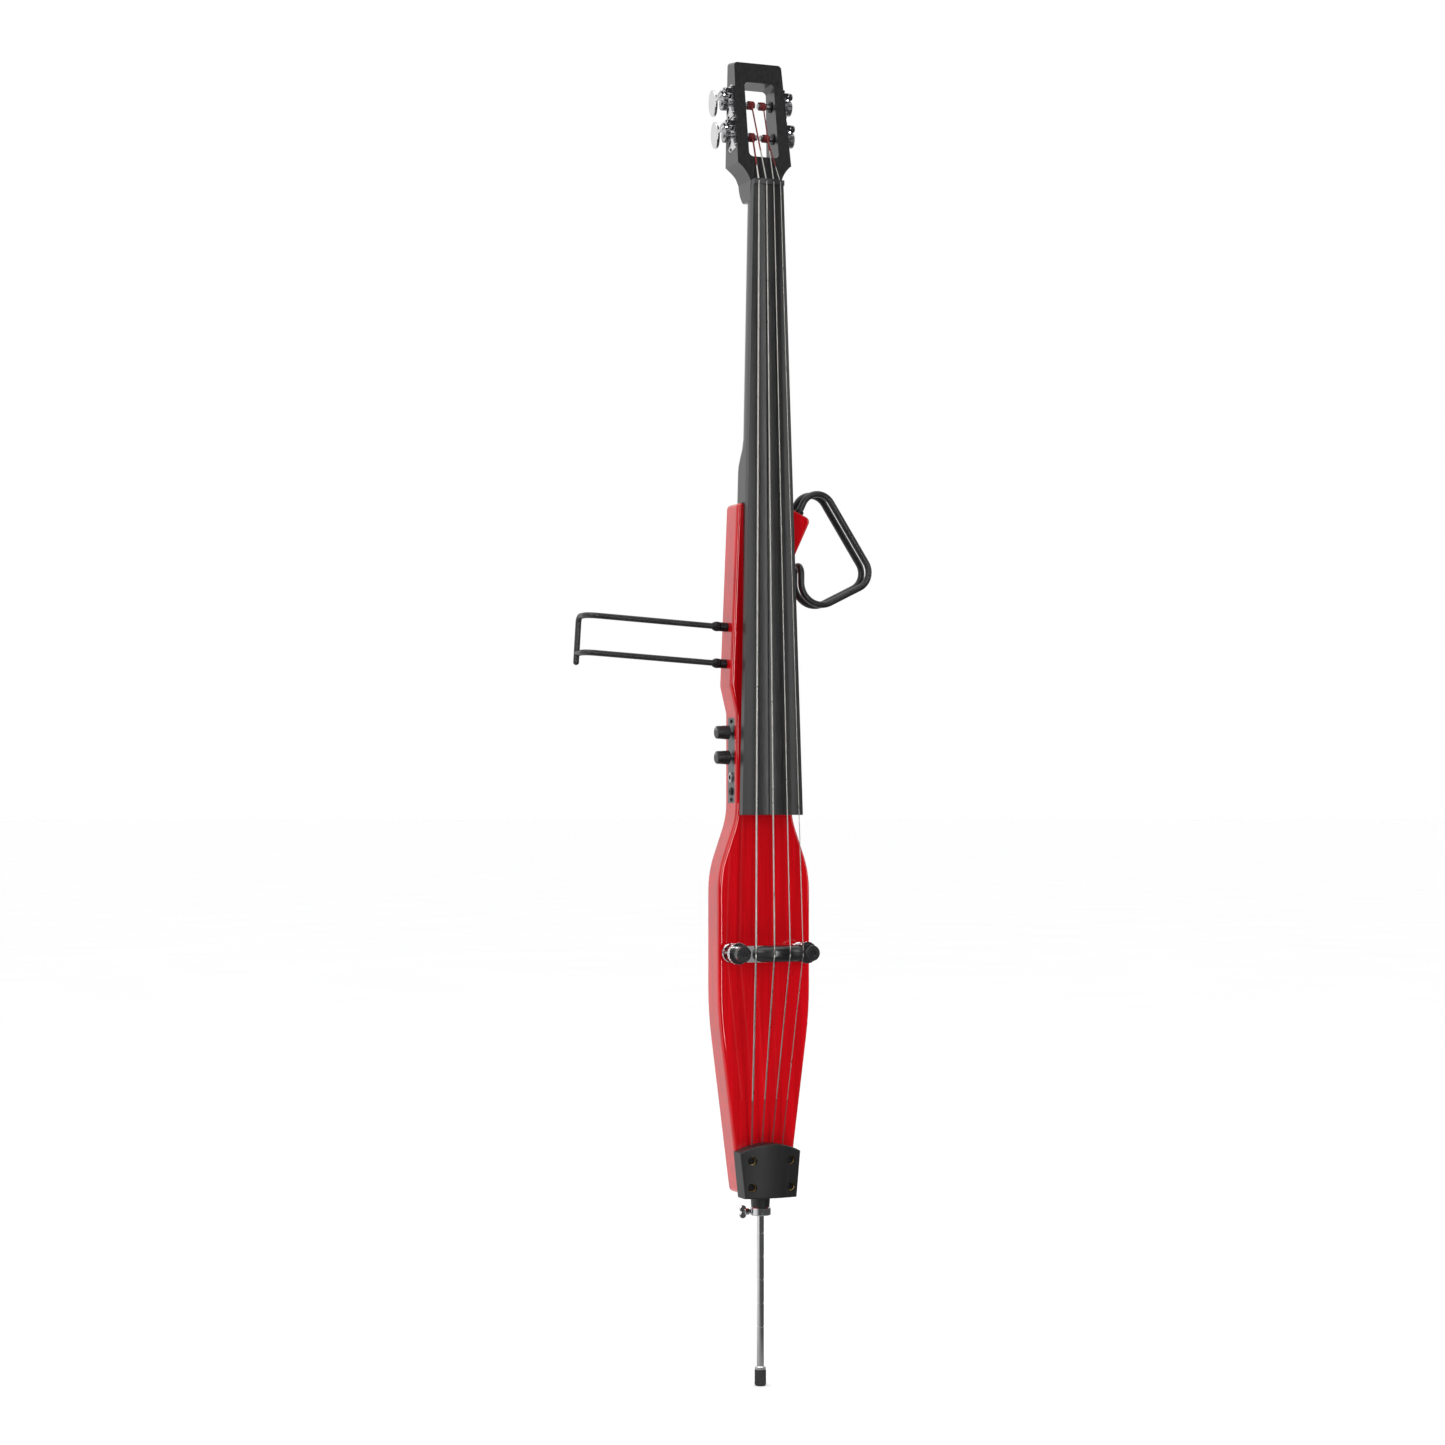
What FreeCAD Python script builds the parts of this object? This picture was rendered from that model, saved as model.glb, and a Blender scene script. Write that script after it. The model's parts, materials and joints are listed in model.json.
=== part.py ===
import FreeCAD, Part
import math
import os
import Sketcher

# A slab-bodied electric upright bass, standing on the tip of its endpin.
# Frame: millimetres, +Z up the instrument, +Y to its back, +X to the right as seen from the front.
# The origin is the bottom of the endpin tip, on the endpin's axis.

doc = FreeCAD.newDocument("upright_bass")
Vector = FreeCAD.Vector
X_AXIS = Vector(1, 0, 0)
Y_AXIS = Vector(0, 1, 0)
Z_AXIS = Vector(0, 0, 1)


# ---------------------------------------------------------------- driving sizes

SIZES = {
    "body": [
        ("floor_clearance", 262, "endpin tip to the body's lower edge"),
        ("body_length", 935, "lower edge to the top edge beside the neck"),
        ("body_thickness", 42, "front face to back face"),
        ("body_front", 15.5, "endpin axis to the front face"),
        ("edge_radius", 5, "roundover of the front and back edges"),
        ("foot_half_width", 36, "half width at the lower edge"),
        ("bout_half_width", 67.3, "half width of the lower bout"),
        ("waist_half_width", 41, "half width beside the controls"),
        ("flank_lean", 7.3, "lean of the flanks below the bout, degrees"),
        ("flank_radius", 555, "arc from the flank into the bout"),
        ("bout_top_rise", 410, "lower edge to where the bout starts to narrow"),
        ("shoulder_lean", 19.3, "lean of the slope from bout to waist, degrees"),
        ("shoulder_out_radius", 144, "arc out of the bout"),
        ("shoulder_in_radius", 108, "arc into the waist"),
        ("top_half_width", 39.5, "half width at the top, left of the neck"),
        ("horn_half_width", 49.9, "half width at the horn above the controls"),
        ("horn_drop", 248, "top edge to the horn"),
        ("horn_depth", 37, "height of the slope under the horn"),
        ("wing_root_width", 45, "half width under the right shoulder wing"),
        ("wing_width", 70, "endpin axis to the wing's corner"),
        ("wing_drop", 19, "top edge to the wing's corner"),
        ("wing_lean", 25.3, "lean of the wing, degrees"),
        ("corner_radius", 7, "corners of the outline"),
        ("horn_radius", 22, "corners above and below the horn"),
    ],
    "strings": [
        ("string_length", 1040, "nut to bridge"),
        ("bridge_rise", 326, "lower edge of the body to the bridge"),
        ("nut_spacing", 10.4, "string spacing at the nut"),
        ("bridge_spacing", 22.8, "string spacing at the bridge"),
        ("tail_spacing", 15, "string spacing at the tail block"),
        ("string_e_width", 2.7, "diameter of the E string"),
        ("string_a_width", 2.1, "diameter of the A string"),
        ("string_d_width", 1.6, "diameter of the D string"),
        ("string_g_width", 1.2, "diameter of the G string"),
        ("seat_clearance", 0.25, "gap round a string in a groove or bore"),
    ],
    "neck": [
        ("board_length", 854, "fingerboard, nut to lower end"),
        ("board_nut_half", 22, "half width of the board at the nut"),
        ("board_end_half", 44.2, "half width of the board at its lower end"),
        ("board_edge", 10.5, "thickness of the board's edges"),
        ("board_radius", 70, "radius of the arched playing surface"),
        ("board_nut_front", 30, "endpin axis to the board's edge at the nut"),
        ("board_end_front", 44, "endpin axis to the board's edge at its lower end"),
        ("nut_width", 7, "nut, along the strings"),
        ("nut_height", 3, "nut above the board"),
        ("neck_inset", 0.8, "board's edge to the neck's side"),
        ("neck_depth", 27, "board to the neck's back at the nut"),
        ("neck_end_depth", 31, "board to the neck's back above the heel"),
        ("heel_back", 11.5, "endpin axis to the heel's back"),
        ("heel_rise", 43, "top of the body to the heel's curve"),
        ("heel_curve", 44, "height of the heel's curve"),
        ("tongue_half", 31, "half width of the tongue in the body"),
        ("tongue_length", 152, "tongue, down from the top of the body"),
        ("pocket_clearance", 0.15, "gap beside and below the tongue"),
        ("truss_width", 6.4, "width of the truss rod's channel"),
        ("truss_depth", 9, "depth of the truss rod's channel"),
    ],
    "head": [
        ("head_lean", 10, "lean of the head's front, degrees"),
        ("head_front", 21.6, "endpin axis to the head's front at the nut"),
        ("head_length", 177, "nut to the head's top"),
        ("head_low_half", 39.3, "half width of the head above its chamfers"),
        ("head_top_half", 34.4, "half width of the head at its top"),
        ("head_low_rise", 31, "nut to the top of the chamfers"),
        ("head_back_low", 29, "endpin axis to the head's back, low"),
        ("head_back_top", 33, "endpin axis to the head's back, at the top"),
        ("slot_half", 21.7, "half width of the string slot"),
        ("slot_start", 41.5, "nut to the slot, along the head"),
        ("slot_end", 148, "nut to the slot's end, along the head"),
        ("slot_radius", 6, "corner radius of the slot"),
        ("post_low", 75, "nut to the lower posts, along the head"),
        ("post_spacing", 46.4, "lower posts to upper posts"),
        ("post_inset", 16, "head's front to the posts"),
        ("post_radius", 4, "string post"),
        ("post_gap", 2.4, "middle of the head to a post's end"),
        ("seat_half", 36, "middle of the head to a plate's seat"),
    ],
    "tuners": [
        ("plate_thickness", 2.5, "tuner plate"),
        ("plate_half_depth", 13, "half of the plate, front to back"),
        ("plate_below", 20.3, "post to the plate's lower edge"),
        ("plate_above", 23.7, "post to the plate's upper edge"),
        ("gear_teeth", 20, "teeth of the string post's wheel"),
        ("gear_pitch_radius", 9.5, "pitch radius of the wheel"),
        ("gear_addendum", 0.6, "tooth above the pitch radius"),
        ("gear_dedendum", 1.2, "tooth below the pitch radius"),
        ("gear_width", 7, "width of the wheel"),
        ("gear_offset", 8.7, "plate to the middle of the wheel"),
        ("worm_pitch_radius", 5, "pitch radius of the worm"),
        ("worm_addendum", 0.9, "thread above the worm's pitch radius"),
        ("worm_length", 14.4, "threaded length"),
        ("ear_thickness", 3, "bearing ears of the plate"),
        ("key_shaft_radius", 2.5, "worm's shaft"),
        ("bearing_clearance", 0.08, "gap round a turning shaft"),
        ("button_start", 25, "worm's middle to the button"),
        ("button_depth", 25, "button, along its shaft"),
        ("button_height", 38, "button, across its shaft"),
        ("button_end_radius", 9, "button's narrow ends"),
        ("button_thickness", 4.5, "button"),
        ("winding_width", 11, "string wound on the post"),
        ("winding_depth", 2.75, "thickness of the windings"),
        ("bushing_radius", 6, "bushing of a post, outside"),
    ],
    "bridge": [
        ("bridge_half_span", 50, "middle to a stud"),
        ("stud_radius", 4, "threaded stud"),
        ("stud_depth", 20, "stud and insert below the body's front"),
        ("base_radius", 13, "flange of a stud's insert"),
        ("base_thickness", 3.5, "flange of a stud's insert"),
        ("insert_radius", 6, "insert in the body"),
        ("thumbwheel_radius", 15, "thumbwheel"),
        ("thumbwheel_width", 6, "thumbwheel"),
        ("boss_radius", 10.5, "boss at each end of the bar"),
        ("boss_low", 46.3, "endpin axis to the underside of the bosses"),
        ("boss_height", 18.2, "height of the bosses"),
        ("crest_front", 78.1, "endpin axis to the string line's crown"),
        ("crest_radius", 61, "radius of the string line"),
        ("crest_half", 38.4, "half length of the crest"),
        ("bar_width", 22, "bar, along the strings"),
        ("stud_clearance", 0.2, "gap round a stud in its boss"),
        ("wheel_gap", 0.2, "thumbwheel to boss"),
        ("bar_low", 49, "endpin axis to the bar's underside"),
        ("pickup_radius", 6, "piezo pickup under the bar"),
        ("pickup_height", 3, "piezo pickup under the bar"),
    ],
    "tail": [
        ("tail_top_half", 44, "half width of the tail block at its top"),
        ("tail_foot_half", 37.5, "half width of the tail block at its foot"),
        ("tail_foot_drop", 4, "tail block below the body's lower edge"),
        ("tail_height", 62, "tail block's sides"),
        ("tail_arch", 11, "arch of the top edge"),
        ("tail_sink", 4, "tail block sunk in the body's front"),
        ("tail_side_front", 36, "endpin axis to the block's sides"),
        ("tail_bulge", 8, "bulge of the block's front"),
        ("tail_string_front", 24, "endpin axis to the strings in the block"),
        ("ball_radius", 3.6, "ball end of a string"),
        ("ball_height", 7, "ball end of a string"),
        ("tail_screw_x", 28, "middle to the block's screws"),
        ("tail_screw_low", 15, "block's foot to the lower screws"),
        ("tail_screw_high", 51, "block's foot to the upper screws"),
        ("tail_recess_radius", 6, "recess of a screw's head"),
        ("tail_recess_floor", 31.5, "endpin axis to the recess floor"),
    ],
    "endpin": [
        ("rod_radius", 5, "endpin rod"),
        ("rod_length", 440, "endpin rod"),
        ("rod_start", 9, "bottom of the tip to the rod"),
        ("rod_clearance", 0.2, "gap round the rod in socket and collar"),
        ("groove_first", 80.1, "bottom of the tip to the first groove"),
        ("groove_spacing", 31.8, "spacing of the grooves"),
        ("groove_count", 5, "grooves"),
        ("groove_width", 1.6, "groove"),
        ("groove_depth", 0.5, "groove"),
        ("tip_radius", 7.85, "rubber tip"),
        ("tip_height", 22, "rubber tip"),
        ("ferrule_height", 4.5, "ferrule above the tip"),
        ("collar_radius", 14.35, "collar"),
        ("collar_height", 11, "collar"),
        ("collar_low", 231, "bottom of the tip to the collar"),
        ("socket_low_radius", 12.5, "tapered socket above the collar"),
        ("socket_top_radius", 13.5, "tapered socket, at its top"),
        ("socket_height", 15, "tapered socket"),
        ("plug_radius", 10, "socket's plug in the body"),
        ("plug_length", 40, "socket's plug in the body"),
        ("rod_bore_radius", 6.5, "bore in the body above the socket"),
        ("rod_bore_rise", 372, "lower edge of the body to the bore's end"),
        ("screw_radius", 3, "wing screw"),
        ("wing_span", 18, "wing screw's wings, tip to tip"),
    ],
    "rest": [
        ("arm_radius", 4, "rod of the body rest"),
        ("arm_lean", 3.5, "rise of the arms, degrees"),
        ("arm_high_drop", 168, "top of the body to the upper arm"),
        ("arm_spacing", 50, "upper arm to lower arm"),
        ("arm_reach", 247, "endpin axis to the arms' bend"),
        ("arm_inside", 24, "endpin axis to the arms' inner ends"),
        ("arm_back", 36, "arms' bend to the crossbar, backward"),
        ("arm_bend", 14, "radius of the arms' bend"),
        ("crossbar_below", 12, "crossbar below the lower arm"),
        ("sleeve_radius", 6.2, "sleeve in the body"),
        ("sleeve_reach", 58, "endpin axis to the sleeve's outer end"),
        ("locknut_radius", 6.6, "lock nut"),
        ("locknut_length", 9, "lock nut"),
        ("slide_clearance", 0.15, "gap round a rod in its sleeve"),
    ],
    "hook": [
        ("hook_radius", 4.5, "rods of the shoulder hook"),
        ("hook_half_gap", 12, "half distance between the rods"),
        ("hook_root_x", 54, "endpin axis to the hook's root"),
        ("hook_inside", 38, "rods inside the body"),
        ("hook_rise", 59, "root to the hook's upper bend"),
        ("hook_top_radius", 24, "upper bend"),
        ("hook_outer_x", 170, "endpin axis to the outer bend"),
        ("hook_outer_drop", 98, "top of the body to the outer bend"),
        ("hook_outer_radius", 24, "outer bend"),
        ("hook_low_drop", 153, "top of the body to the lower bend"),
        ("hook_low_radius", 30, "lower bend"),
        ("hook_end_x", 58, "endpin axis to the hook's end"),
        ("hook_end_drop", 82, "top of the body to the hook's end"),
        ("ferrule_wall", 1.5, "wall of a rod's ferrule"),
    ],
    "controls": [
        ("plate_front", -8.5, "endpin axis to the control plate's front edge"),
        ("plate_depth", 24, "control plate, front to back"),
        ("plate_low_drop", 407, "top of the body to the plate's lower end"),
        ("plate_length", 116, "control plate"),
        ("panel_thickness", 2.5, "control plate"),
        ("cavity_depth", 36, "control cavity"),
        ("cavity_margin", 3.5, "plate's edge to the cavity"),
        ("knob_radius", 9.5, "knob"),
        ("knob_length", 18, "knob"),
        ("knob_gap", 4.5, "plate to knob"),
        ("knob_high_drop", 311, "top of the body to the upper knob"),
        ("knob_spacing", 34, "upper knob to lower knob"),
        ("jack_high_drop", 372, "top of the body to the output jack"),
        ("jack_spacing", 19, "output jack to headphone jack"),
        ("jack_bore_radius", 3.25, "bore for a 6.35 mm plug"),
        ("phones_bore_radius", 1.8, "bore for a 3.5 mm plug"),
        ("shaft_radius", 3, "shaft of a potentiometer"),
        ("battery_rise", 378, "lower edge of the body to the battery door"),
        ("door_width", 36, "battery door"),
        ("door_height", 62, "battery door"),
        ("door_thickness", 2.4, "battery door"),
        ("door_gap", 0.4, "gap round the battery door"),
        ("bezel_width", 4, "frame round the battery door"),
        ("tray_depth", 20, "battery box behind its frame"),
        ("tray_wall", 1.6, "wall of the battery box"),
        ("hinge_pin_radius", 0.8, "pin of the battery door"),
    ],
}


def write_sheet():
    """Put every driving size in one sheet, a row each: name, value, meaning."""
    sheet = doc.addObject("Spreadsheet::Sheet", "sizes")
    row = 1
    for group, cells in SIZES.items():
        sheet.set(f"A{row}", group)
        row += 1
        for alias, number, meaning in cells:
            sheet.set(f"A{row}", alias)
            sheet.set(f"B{row}", str(number))
            sheet.set(f"C{row}", meaning)
            sheet.setAlias(f"B{row}", alias)
            row += 1
    doc.recompute()
    return sheet


class Size:
    """A number read from the sheet together with the expression that gives it."""

    def __init__(self, number, text):
        self.number = float(number)
        self.text = text

    def __add__(self, other):
        other = as_size(other)
        return Size(self.number + other.number, f"({self.text} + {other.text})")

    def __sub__(self, other):
        other = as_size(other)
        return Size(self.number - other.number, f"({self.text} - {other.text})")

    def __mul__(self, other):
        other = as_size(other)
        return Size(self.number * other.number, f"({self.text} * {other.text})")

    def __truediv__(self, other):
        other = as_size(other)
        return Size(self.number / other.number, f"({self.text} / {other.text})")

    def __neg__(self):
        return Size(-self.number, f"(0 - {self.text})")

    __radd__ = __add__
    __rmul__ = __mul__

    def __rsub__(self, other):
        return as_size(other) - self

    def __float__(self):
        return self.number


def as_size(value):
    return value if isinstance(value, Size) else Size(value, repr(float(value)))


def sine(angle):
    return Size(math.sin(math.radians(angle.number)), f"sin({angle.text})")


def cosine(angle):
    return Size(math.cos(math.radians(angle.number)), f"cos({angle.text})")


def tangent(angle):
    return Size(math.tan(math.radians(angle.number)), f"tan({angle.text})")


def root(size):
    return Size(math.sqrt(size.number), f"sqrt({size.text})")


class Sizes:
    """Sizes by name, each read from its cell."""

    def __init__(self, sheet):
        for cells in SIZES.values():
            for alias, _number, _meaning in cells:
                setattr(self, alias, Size(sheet.get(alias), f"sizes.{alias}"))


S = Sizes(write_sheet())


# ---------------------------------------------------------------- shared heights and planes

foot_z = S.floor_clearance
top_z = foot_z + S.body_length
front_y = -S.body_front
back_y = front_y + S.body_thickness
middle_y = front_y + S.body_thickness / 2
bridge_z = foot_z + S.bridge_rise
nut_z = bridge_z + S.string_length
board_end_z = nut_z - S.board_length
board_slope = (S.board_end_front - S.board_nut_front) / S.board_length
board_angle = math.degrees(math.atan(board_slope.number))
rod_bore = S.rod_radius + S.rod_clearance
worm_distance = S.gear_pitch_radius + S.worm_pitch_radius

NECK_SCREW_RADIUS = 2.5
NECK_HEAD_RADIUS = 4.9
NECK_HEAD_RECESS = 5
NECK_SCREW_REACH = 17.5
TONGUE_GAP = 0.5
TAIL_SCREW_RADIUS = 2.4
TAIL_SCREW_DEPTH = 20
PANEL_SCREW_RADIUS = 1.4
PANEL_SCREW_LENGTH = 13

STRINGS = ("e", "a", "d", "g")
SIDES = {"e": -1, "a": -1, "d": 1, "g": 1}


def board_front(height):
    """Y of the board's edge at a height."""
    return -(S.board_nut_front + (nut_z - height) * board_slope)


def board_under(height):
    """Y of the board's underside, which the neck's front follows, at a height."""
    return board_front(height) + S.board_edge


def board_half(height):
    """Half width of the board at a height."""
    return S.board_nut_half + (nut_z - height) * (S.board_end_half - S.board_nut_half) / S.board_length


# ---------------------------------------------------------------- how objects are made

FINISHED = []


def finished(obj, label):
    """Name a finished sub-part; its label is its file's name."""
    obj.Label = label
    FINISHED.append(obj)
    return obj


def new_body(name):
    return doc.addObject("PartDesign::Body", "body_of_" + name)


def bind(obj, prop, size):
    obj.setExpression(prop, as_size(size).text)


def place(obj, x=0, y=0, z=0, axis=Z_AXIS, angle=0):
    """Give a sub-part its place and turn, bound to the sheet."""
    turn = FreeCAD.Rotation(axis, float(as_size(angle)))
    base = Vector(*[as_size(value).number for value in (x, y, z)])
    obj.Placement = FreeCAD.Placement(base, turn)
    for letter, value in zip("xyz", (x, y, z)):
        if isinstance(value, Size):
            bind(obj, f"Placement.Base.{letter}", value)


def place_on_head(obj, x=0, depth=0, along=0):
    """Place a sub-part in the head's frame: its Y runs into the head and its Z along it."""
    lean = S.head_lean
    y = -S.head_front + along * sine(lean) + depth * cosine(lean)
    z = nut_z + along * cosine(lean) - depth * sine(lean)
    place(obj, x, y, z, X_AXIS, -S.head_lean)


def new_sketch(body, name, plane, level=0):
    """Start a sketch on one of the body's own planes, moved along the plane's axis to a level."""
    sketch = body.newObject("Sketcher::SketchObject", name)
    support = [item for item in body.Origin.OriginFeatures if item.Role == plane][0]
    sketch.AttachmentSupport = (support, "")
    sketch.MapMode = "FlatFace"
    offset = -as_size(level) if plane == "XZ_Plane" else as_size(level)
    sketch.AttachmentOffset = FreeCAD.Placement(Vector(0, 0, offset.number), FreeCAD.Rotation())
    bind(sketch, "AttachmentOffset.Base.z", offset)
    return sketch


def lean_sketch(sketch, plane, along_x=0, along_y=0, level=0):
    """Lean a sketch with the head's front; along_x and along_y are its origin in the plane."""
    axis = X_AXIS if plane == "XZ_Plane" else Z_AXIS
    turn = FreeCAD.Rotation(axis, -S.head_lean.number)
    parts = [as_size(value) for value in (along_x, along_y, level)]
    sketch.AttachmentOffset = FreeCAD.Placement(Vector(*[part.number for part in parts]), turn)
    for letter, part in zip("xyz", parts):
        bind(sketch, f"AttachmentOffset.Base.{letter}", part)


def fix_point(sketch, edge, end, x, y):
    """Hold one end of an edge at a place bound to the sheet."""
    for kind, value in (("DistanceX", as_size(x)), ("DistanceY", as_size(y))):
        number = sketch.addConstraint(Sketcher.Constraint(kind, edge, end, value.number))
        bind(sketch, f"Constraints[{number}]", value)


def arc_between(start, end, radius):
    """The short arc from start to end: centre on the left if radius > 0, on the right if < 0."""
    chord = end - start
    rise = math.sqrt(radius * radius - chord.Length ** 2 / 4)
    left = Vector(-chord.y, chord.x, 0).normalize()
    centre = (start + end) * 0.5 + left * math.copysign(rise, radius)
    first, last = (start, end) if radius > 0 else (end, start)
    angles = [math.atan2(point.y - centre.y, point.x - centre.x) for point in (first, last)]
    return Part.ArcOfCircle(Part.Circle(centre, Z_AXIS, abs(radius)), angles[0], angles[1])


def add_loop(sketch, corners):
    """Add a closed outline. A corner is (x, y), or (x, y, radius) when an arc leaves it."""
    points = [Vector(float(as_size(c[0])), float(as_size(c[1])), 0) for c in corners]
    edges = []
    for index, corner in enumerate(corners):
        start = points[index]
        end = points[(index + 1) % len(points)]
        if len(corner) == 2:
            edges.append((sketch.addGeometry(Part.LineSegment(start, end)), 1, 2))
            continue
        radius = as_size(corner[2])
        edge = sketch.addGeometry(arc_between(start, end, radius.number))
        edges.append((edge, 1, 2) if radius.number > 0 else (edge, 2, 1))
        size = radius if radius.number > 0 else -radius
        number = sketch.addConstraint(Sketcher.Constraint("Radius", edge, size.number))
        bind(sketch, f"Constraints[{number}]", size)
    for index, corner in enumerate(corners):
        edge, start, _end = edges[index]
        before, _start, end = edges[index - 1]
        sketch.addConstraint(Sketcher.Constraint("Coincident", before, end, edge, start))
        fix_point(sketch, edge, start, corner[0], corner[1])


def add_circle(sketch, x, y, radius):
    centre = Vector(float(as_size(x)), float(as_size(y)), 0)
    edge = sketch.addGeometry(Part.Circle(centre, Z_AXIS, as_size(radius).number))
    fix_point(sketch, edge, 3, x, y)
    number = sketch.addConstraint(Sketcher.Constraint("Radius", edge, as_size(radius).number))
    bind(sketch, f"Constraints[{number}]", radius)


def rectangle(low_x, low_y, high_x, high_y):
    return [(low_x, low_y), (high_x, low_y), (high_x, high_y), (low_x, high_y)]


def rounded(low_x, low_y, high_x, high_y, radius):
    """A rectangle with round corners, as the corners of a loop."""
    return [
        (low_x + radius, low_y), (high_x - radius, low_y, radius),
        (high_x, low_y + radius), (high_x, high_y - radius, radius),
        (high_x - radius, high_y), (low_x + radius, high_y, radius),
        (low_x, high_y - radius), (low_x, low_y + radius, radius),
    ]


def oval(middle_x, half_width, half_height, end_radius):
    """An upright oval about (middle_x, 0): four arcs, each tangent to the next."""
    width_step = half_width - end_radius
    height_step = half_height - end_radius
    side_radius = (half_width * half_width - end_radius * end_radius
                   + height_step * height_step) / (width_step * 2)
    share = side_radius / (side_radius - end_radius)
    x = (side_radius - half_width) * (share - 1)
    y = height_step * share
    return [
        (middle_x - x, -y, end_radius), (middle_x + x, -y, side_radius),
        (middle_x + x, y, end_radius), (middle_x - x, y, side_radius),
    ]


def built(feature):
    """Recompute, and stop at the first feature that fails."""
    doc.recompute()
    if "Invalid" in feature.State or "Error" in feature.State or feature.Shape.isNull():
        raise RuntimeError(f"{feature.Name} fails: {feature.State}")
    return feature


def pad(body, sketch, length, both=False, back=False):
    """Pad a sketch along its normal, against it, or both ways."""
    feature = body.newObject("PartDesign::Pad", "pad_" + sketch.Name)
    feature.Profile = sketch
    bind(feature, "Length", length)
    feature.SideType = "Symmetric" if both else "One side"
    feature.Reversed = back
    return built(feature)


def pocket(body, sketch, length, both=False, back=False):
    """Cut a sketch into the body, and make sure that it cut something."""
    before = body.Shape.Volume
    feature = body.newObject("PartDesign::Pocket", "cut_" + sketch.Name)
    feature.Profile = sketch
    bind(feature, "Length", length)
    feature.SideType = "Symmetric" if both else "One side"
    feature.Reversed = back
    built(feature)
    if not body.Shape.Volume < before - 0.01:
        raise RuntimeError(f"{feature.Name} cuts nothing")
    return feature


def revolve(body, sketch, axis):
    feature = body.newObject("PartDesign::Revolution", "turn_" + sketch.Name)
    feature.Profile = sketch
    feature.ReferenceAxis = (sketch, [axis])
    feature.Angle = 360
    return built(feature)


def repeat_round(body, feature, count):
    """Repeat a feature round the normal of its own sketch."""
    pattern = body.newObject("PartDesign::PolarPattern", "round_of_" + feature.Name)
    pattern.Originals = [feature]
    pattern.Axis = (feature.Profile[0], ["N_Axis"])
    pattern.Angle = 360
    pattern.Occurrences = int(as_size(count).number)
    bind(pattern, "Occurrences", count)
    body.Tip = pattern
    return built(pattern)


def loft(body, sketches):
    """Loft the first sketch through the others, with straight rulings."""
    feature = body.newObject("PartDesign::AdditiveLoft", "loft_" + sketches[0].Name)
    feature.Profile = sketches[0]
    feature.Sections = sketches[1:]
    feature.Ruled = True
    return built(feature)


def round_edges(body, radius, wanted):
    """Fillet the edges that wanted() picks."""
    base = body.Tip
    names = [f"Edge{number}" for number, edge in enumerate(base.Shape.Edges, 1) if wanted(edge)]
    feature = body.newObject("PartDesign::Fillet", "round_" + base.Name)
    feature.Base = (base, names)
    bind(feature, "Radius", radius)
    return built(feature)


def is_along(edge, axis):
    """Whether an edge is straight and parallel to an axis."""
    if not isinstance(edge.Curve, Part.Line):
        return False
    return abs(edge.Curve.Direction.dot(axis)) > 0.9999


def lies_at(edge, axis, level):
    """Whether all of an edge is at one level along an axis."""
    box = edge.BoundBox
    lows = Vector(box.XMin, box.YMin, box.ZMin)
    highs = Vector(box.XMax, box.YMax, box.ZMax)
    return abs(lows.dot(axis) - level) < 0.02 and abs(highs.dot(axis) - level) < 0.02


def passes(edge, x, z, reach=0.5):
    """Whether an edge along Y passes a point of the outline."""
    point = edge.Vertexes[0].Point
    return math.hypot(point.x - float(x), point.z - float(z)) < reach


def code_part(name, solids):
    """A sub-part made of one or more separate solids."""
    shape = solids[0] if len(solids) == 1 else Part.makeCompound(solids)
    obj = doc.addObject("Part::Feature", "shape_of_" + name)
    obj.Shape = shape
    obj.Placement = FreeCAD.Placement()
    return finished(obj, name)


def cut_by(obj, name, tools):
    """Cut solids out of a sub-part; the result is the finished sub-part."""
    tool = doc.addObject("Part::Feature", "tools_of_" + name)
    tool.Shape = Part.makeCompound(tools)
    cut = doc.addObject("Part::Cut", "cut_of_" + name)
    cut.Base = obj
    cut.Tool = tool
    doc.recompute()
    return finished(cut, name)


# ---------------------------------------------------------------- routes of strings and bent rods

def rod_between(start, end, radius):
    return Part.makeCylinder(radius, (end - start).Length, start, end - start)


def tight_rod(points, radius):
    """A taut string: straight runs that meet in a ball at every point where it turns."""
    solid = rod_between(points[0], points[1], radius)
    for start, end in zip(points[1:], points[2:]):
        solid = solid.fuse([Part.makeSphere(radius, start), rod_between(start, end, radius)])
    return solid.removeSplitter()


def bent_rod(points, bends, radius):
    """A bent rod: straight runs joined by tangent arcs, one bend radius for each inner point."""
    edges = []
    last = points[0]
    for corner, after, bend in zip(points[1:-1], points[2:], bends):
        inward = (last - corner).normalize()
        outward = (after - corner).normalize()
        half = inward.getAngle(outward) / 2
        reach = bend / math.tan(half)
        middle = corner + (inward + outward).normalize() * (bend / math.sin(half) - bend)
        start = corner + inward * reach
        end = corner + outward * reach
        if (start - last).Length > 0.01:
            edges.append(Part.LineSegment(last, start).toShape())
        edges.append(Part.Arc(start, middle, end).toShape())
        last = end
    edges.append(Part.LineSegment(last, points[-1]).toShape())
    path = Part.Wire(edges)
    ring = Part.Wire(Part.makeCircle(radius, points[0], points[1] - points[0]))
    return path.makePipeShell([ring], True, False)


# ---------------------------------------------------------------- strings: where each one runs

def string_radius(note):
    return getattr(S, f"string_{note}_width").number / 2


def string_step(note):
    """Place of a string across the instrument, in spacings from the middle."""
    return STRINGS.index(note) - (len(STRINGS) - 1) / 2


def post_along(note):
    """Distance of a string's post from the nut along the head."""
    return S.post_low if note in "eg" else S.post_low + S.post_spacing


def head_point(x, depth, along):
    """A point given in the head's frame."""
    lean = math.radians(S.head_lean.number)
    y = -S.head_front.number + along * math.sin(lean) + depth * math.cos(lean)
    z = nut_z.number + along * math.cos(lean) - depth * math.sin(lean)
    return Vector(x, y, z)


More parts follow.
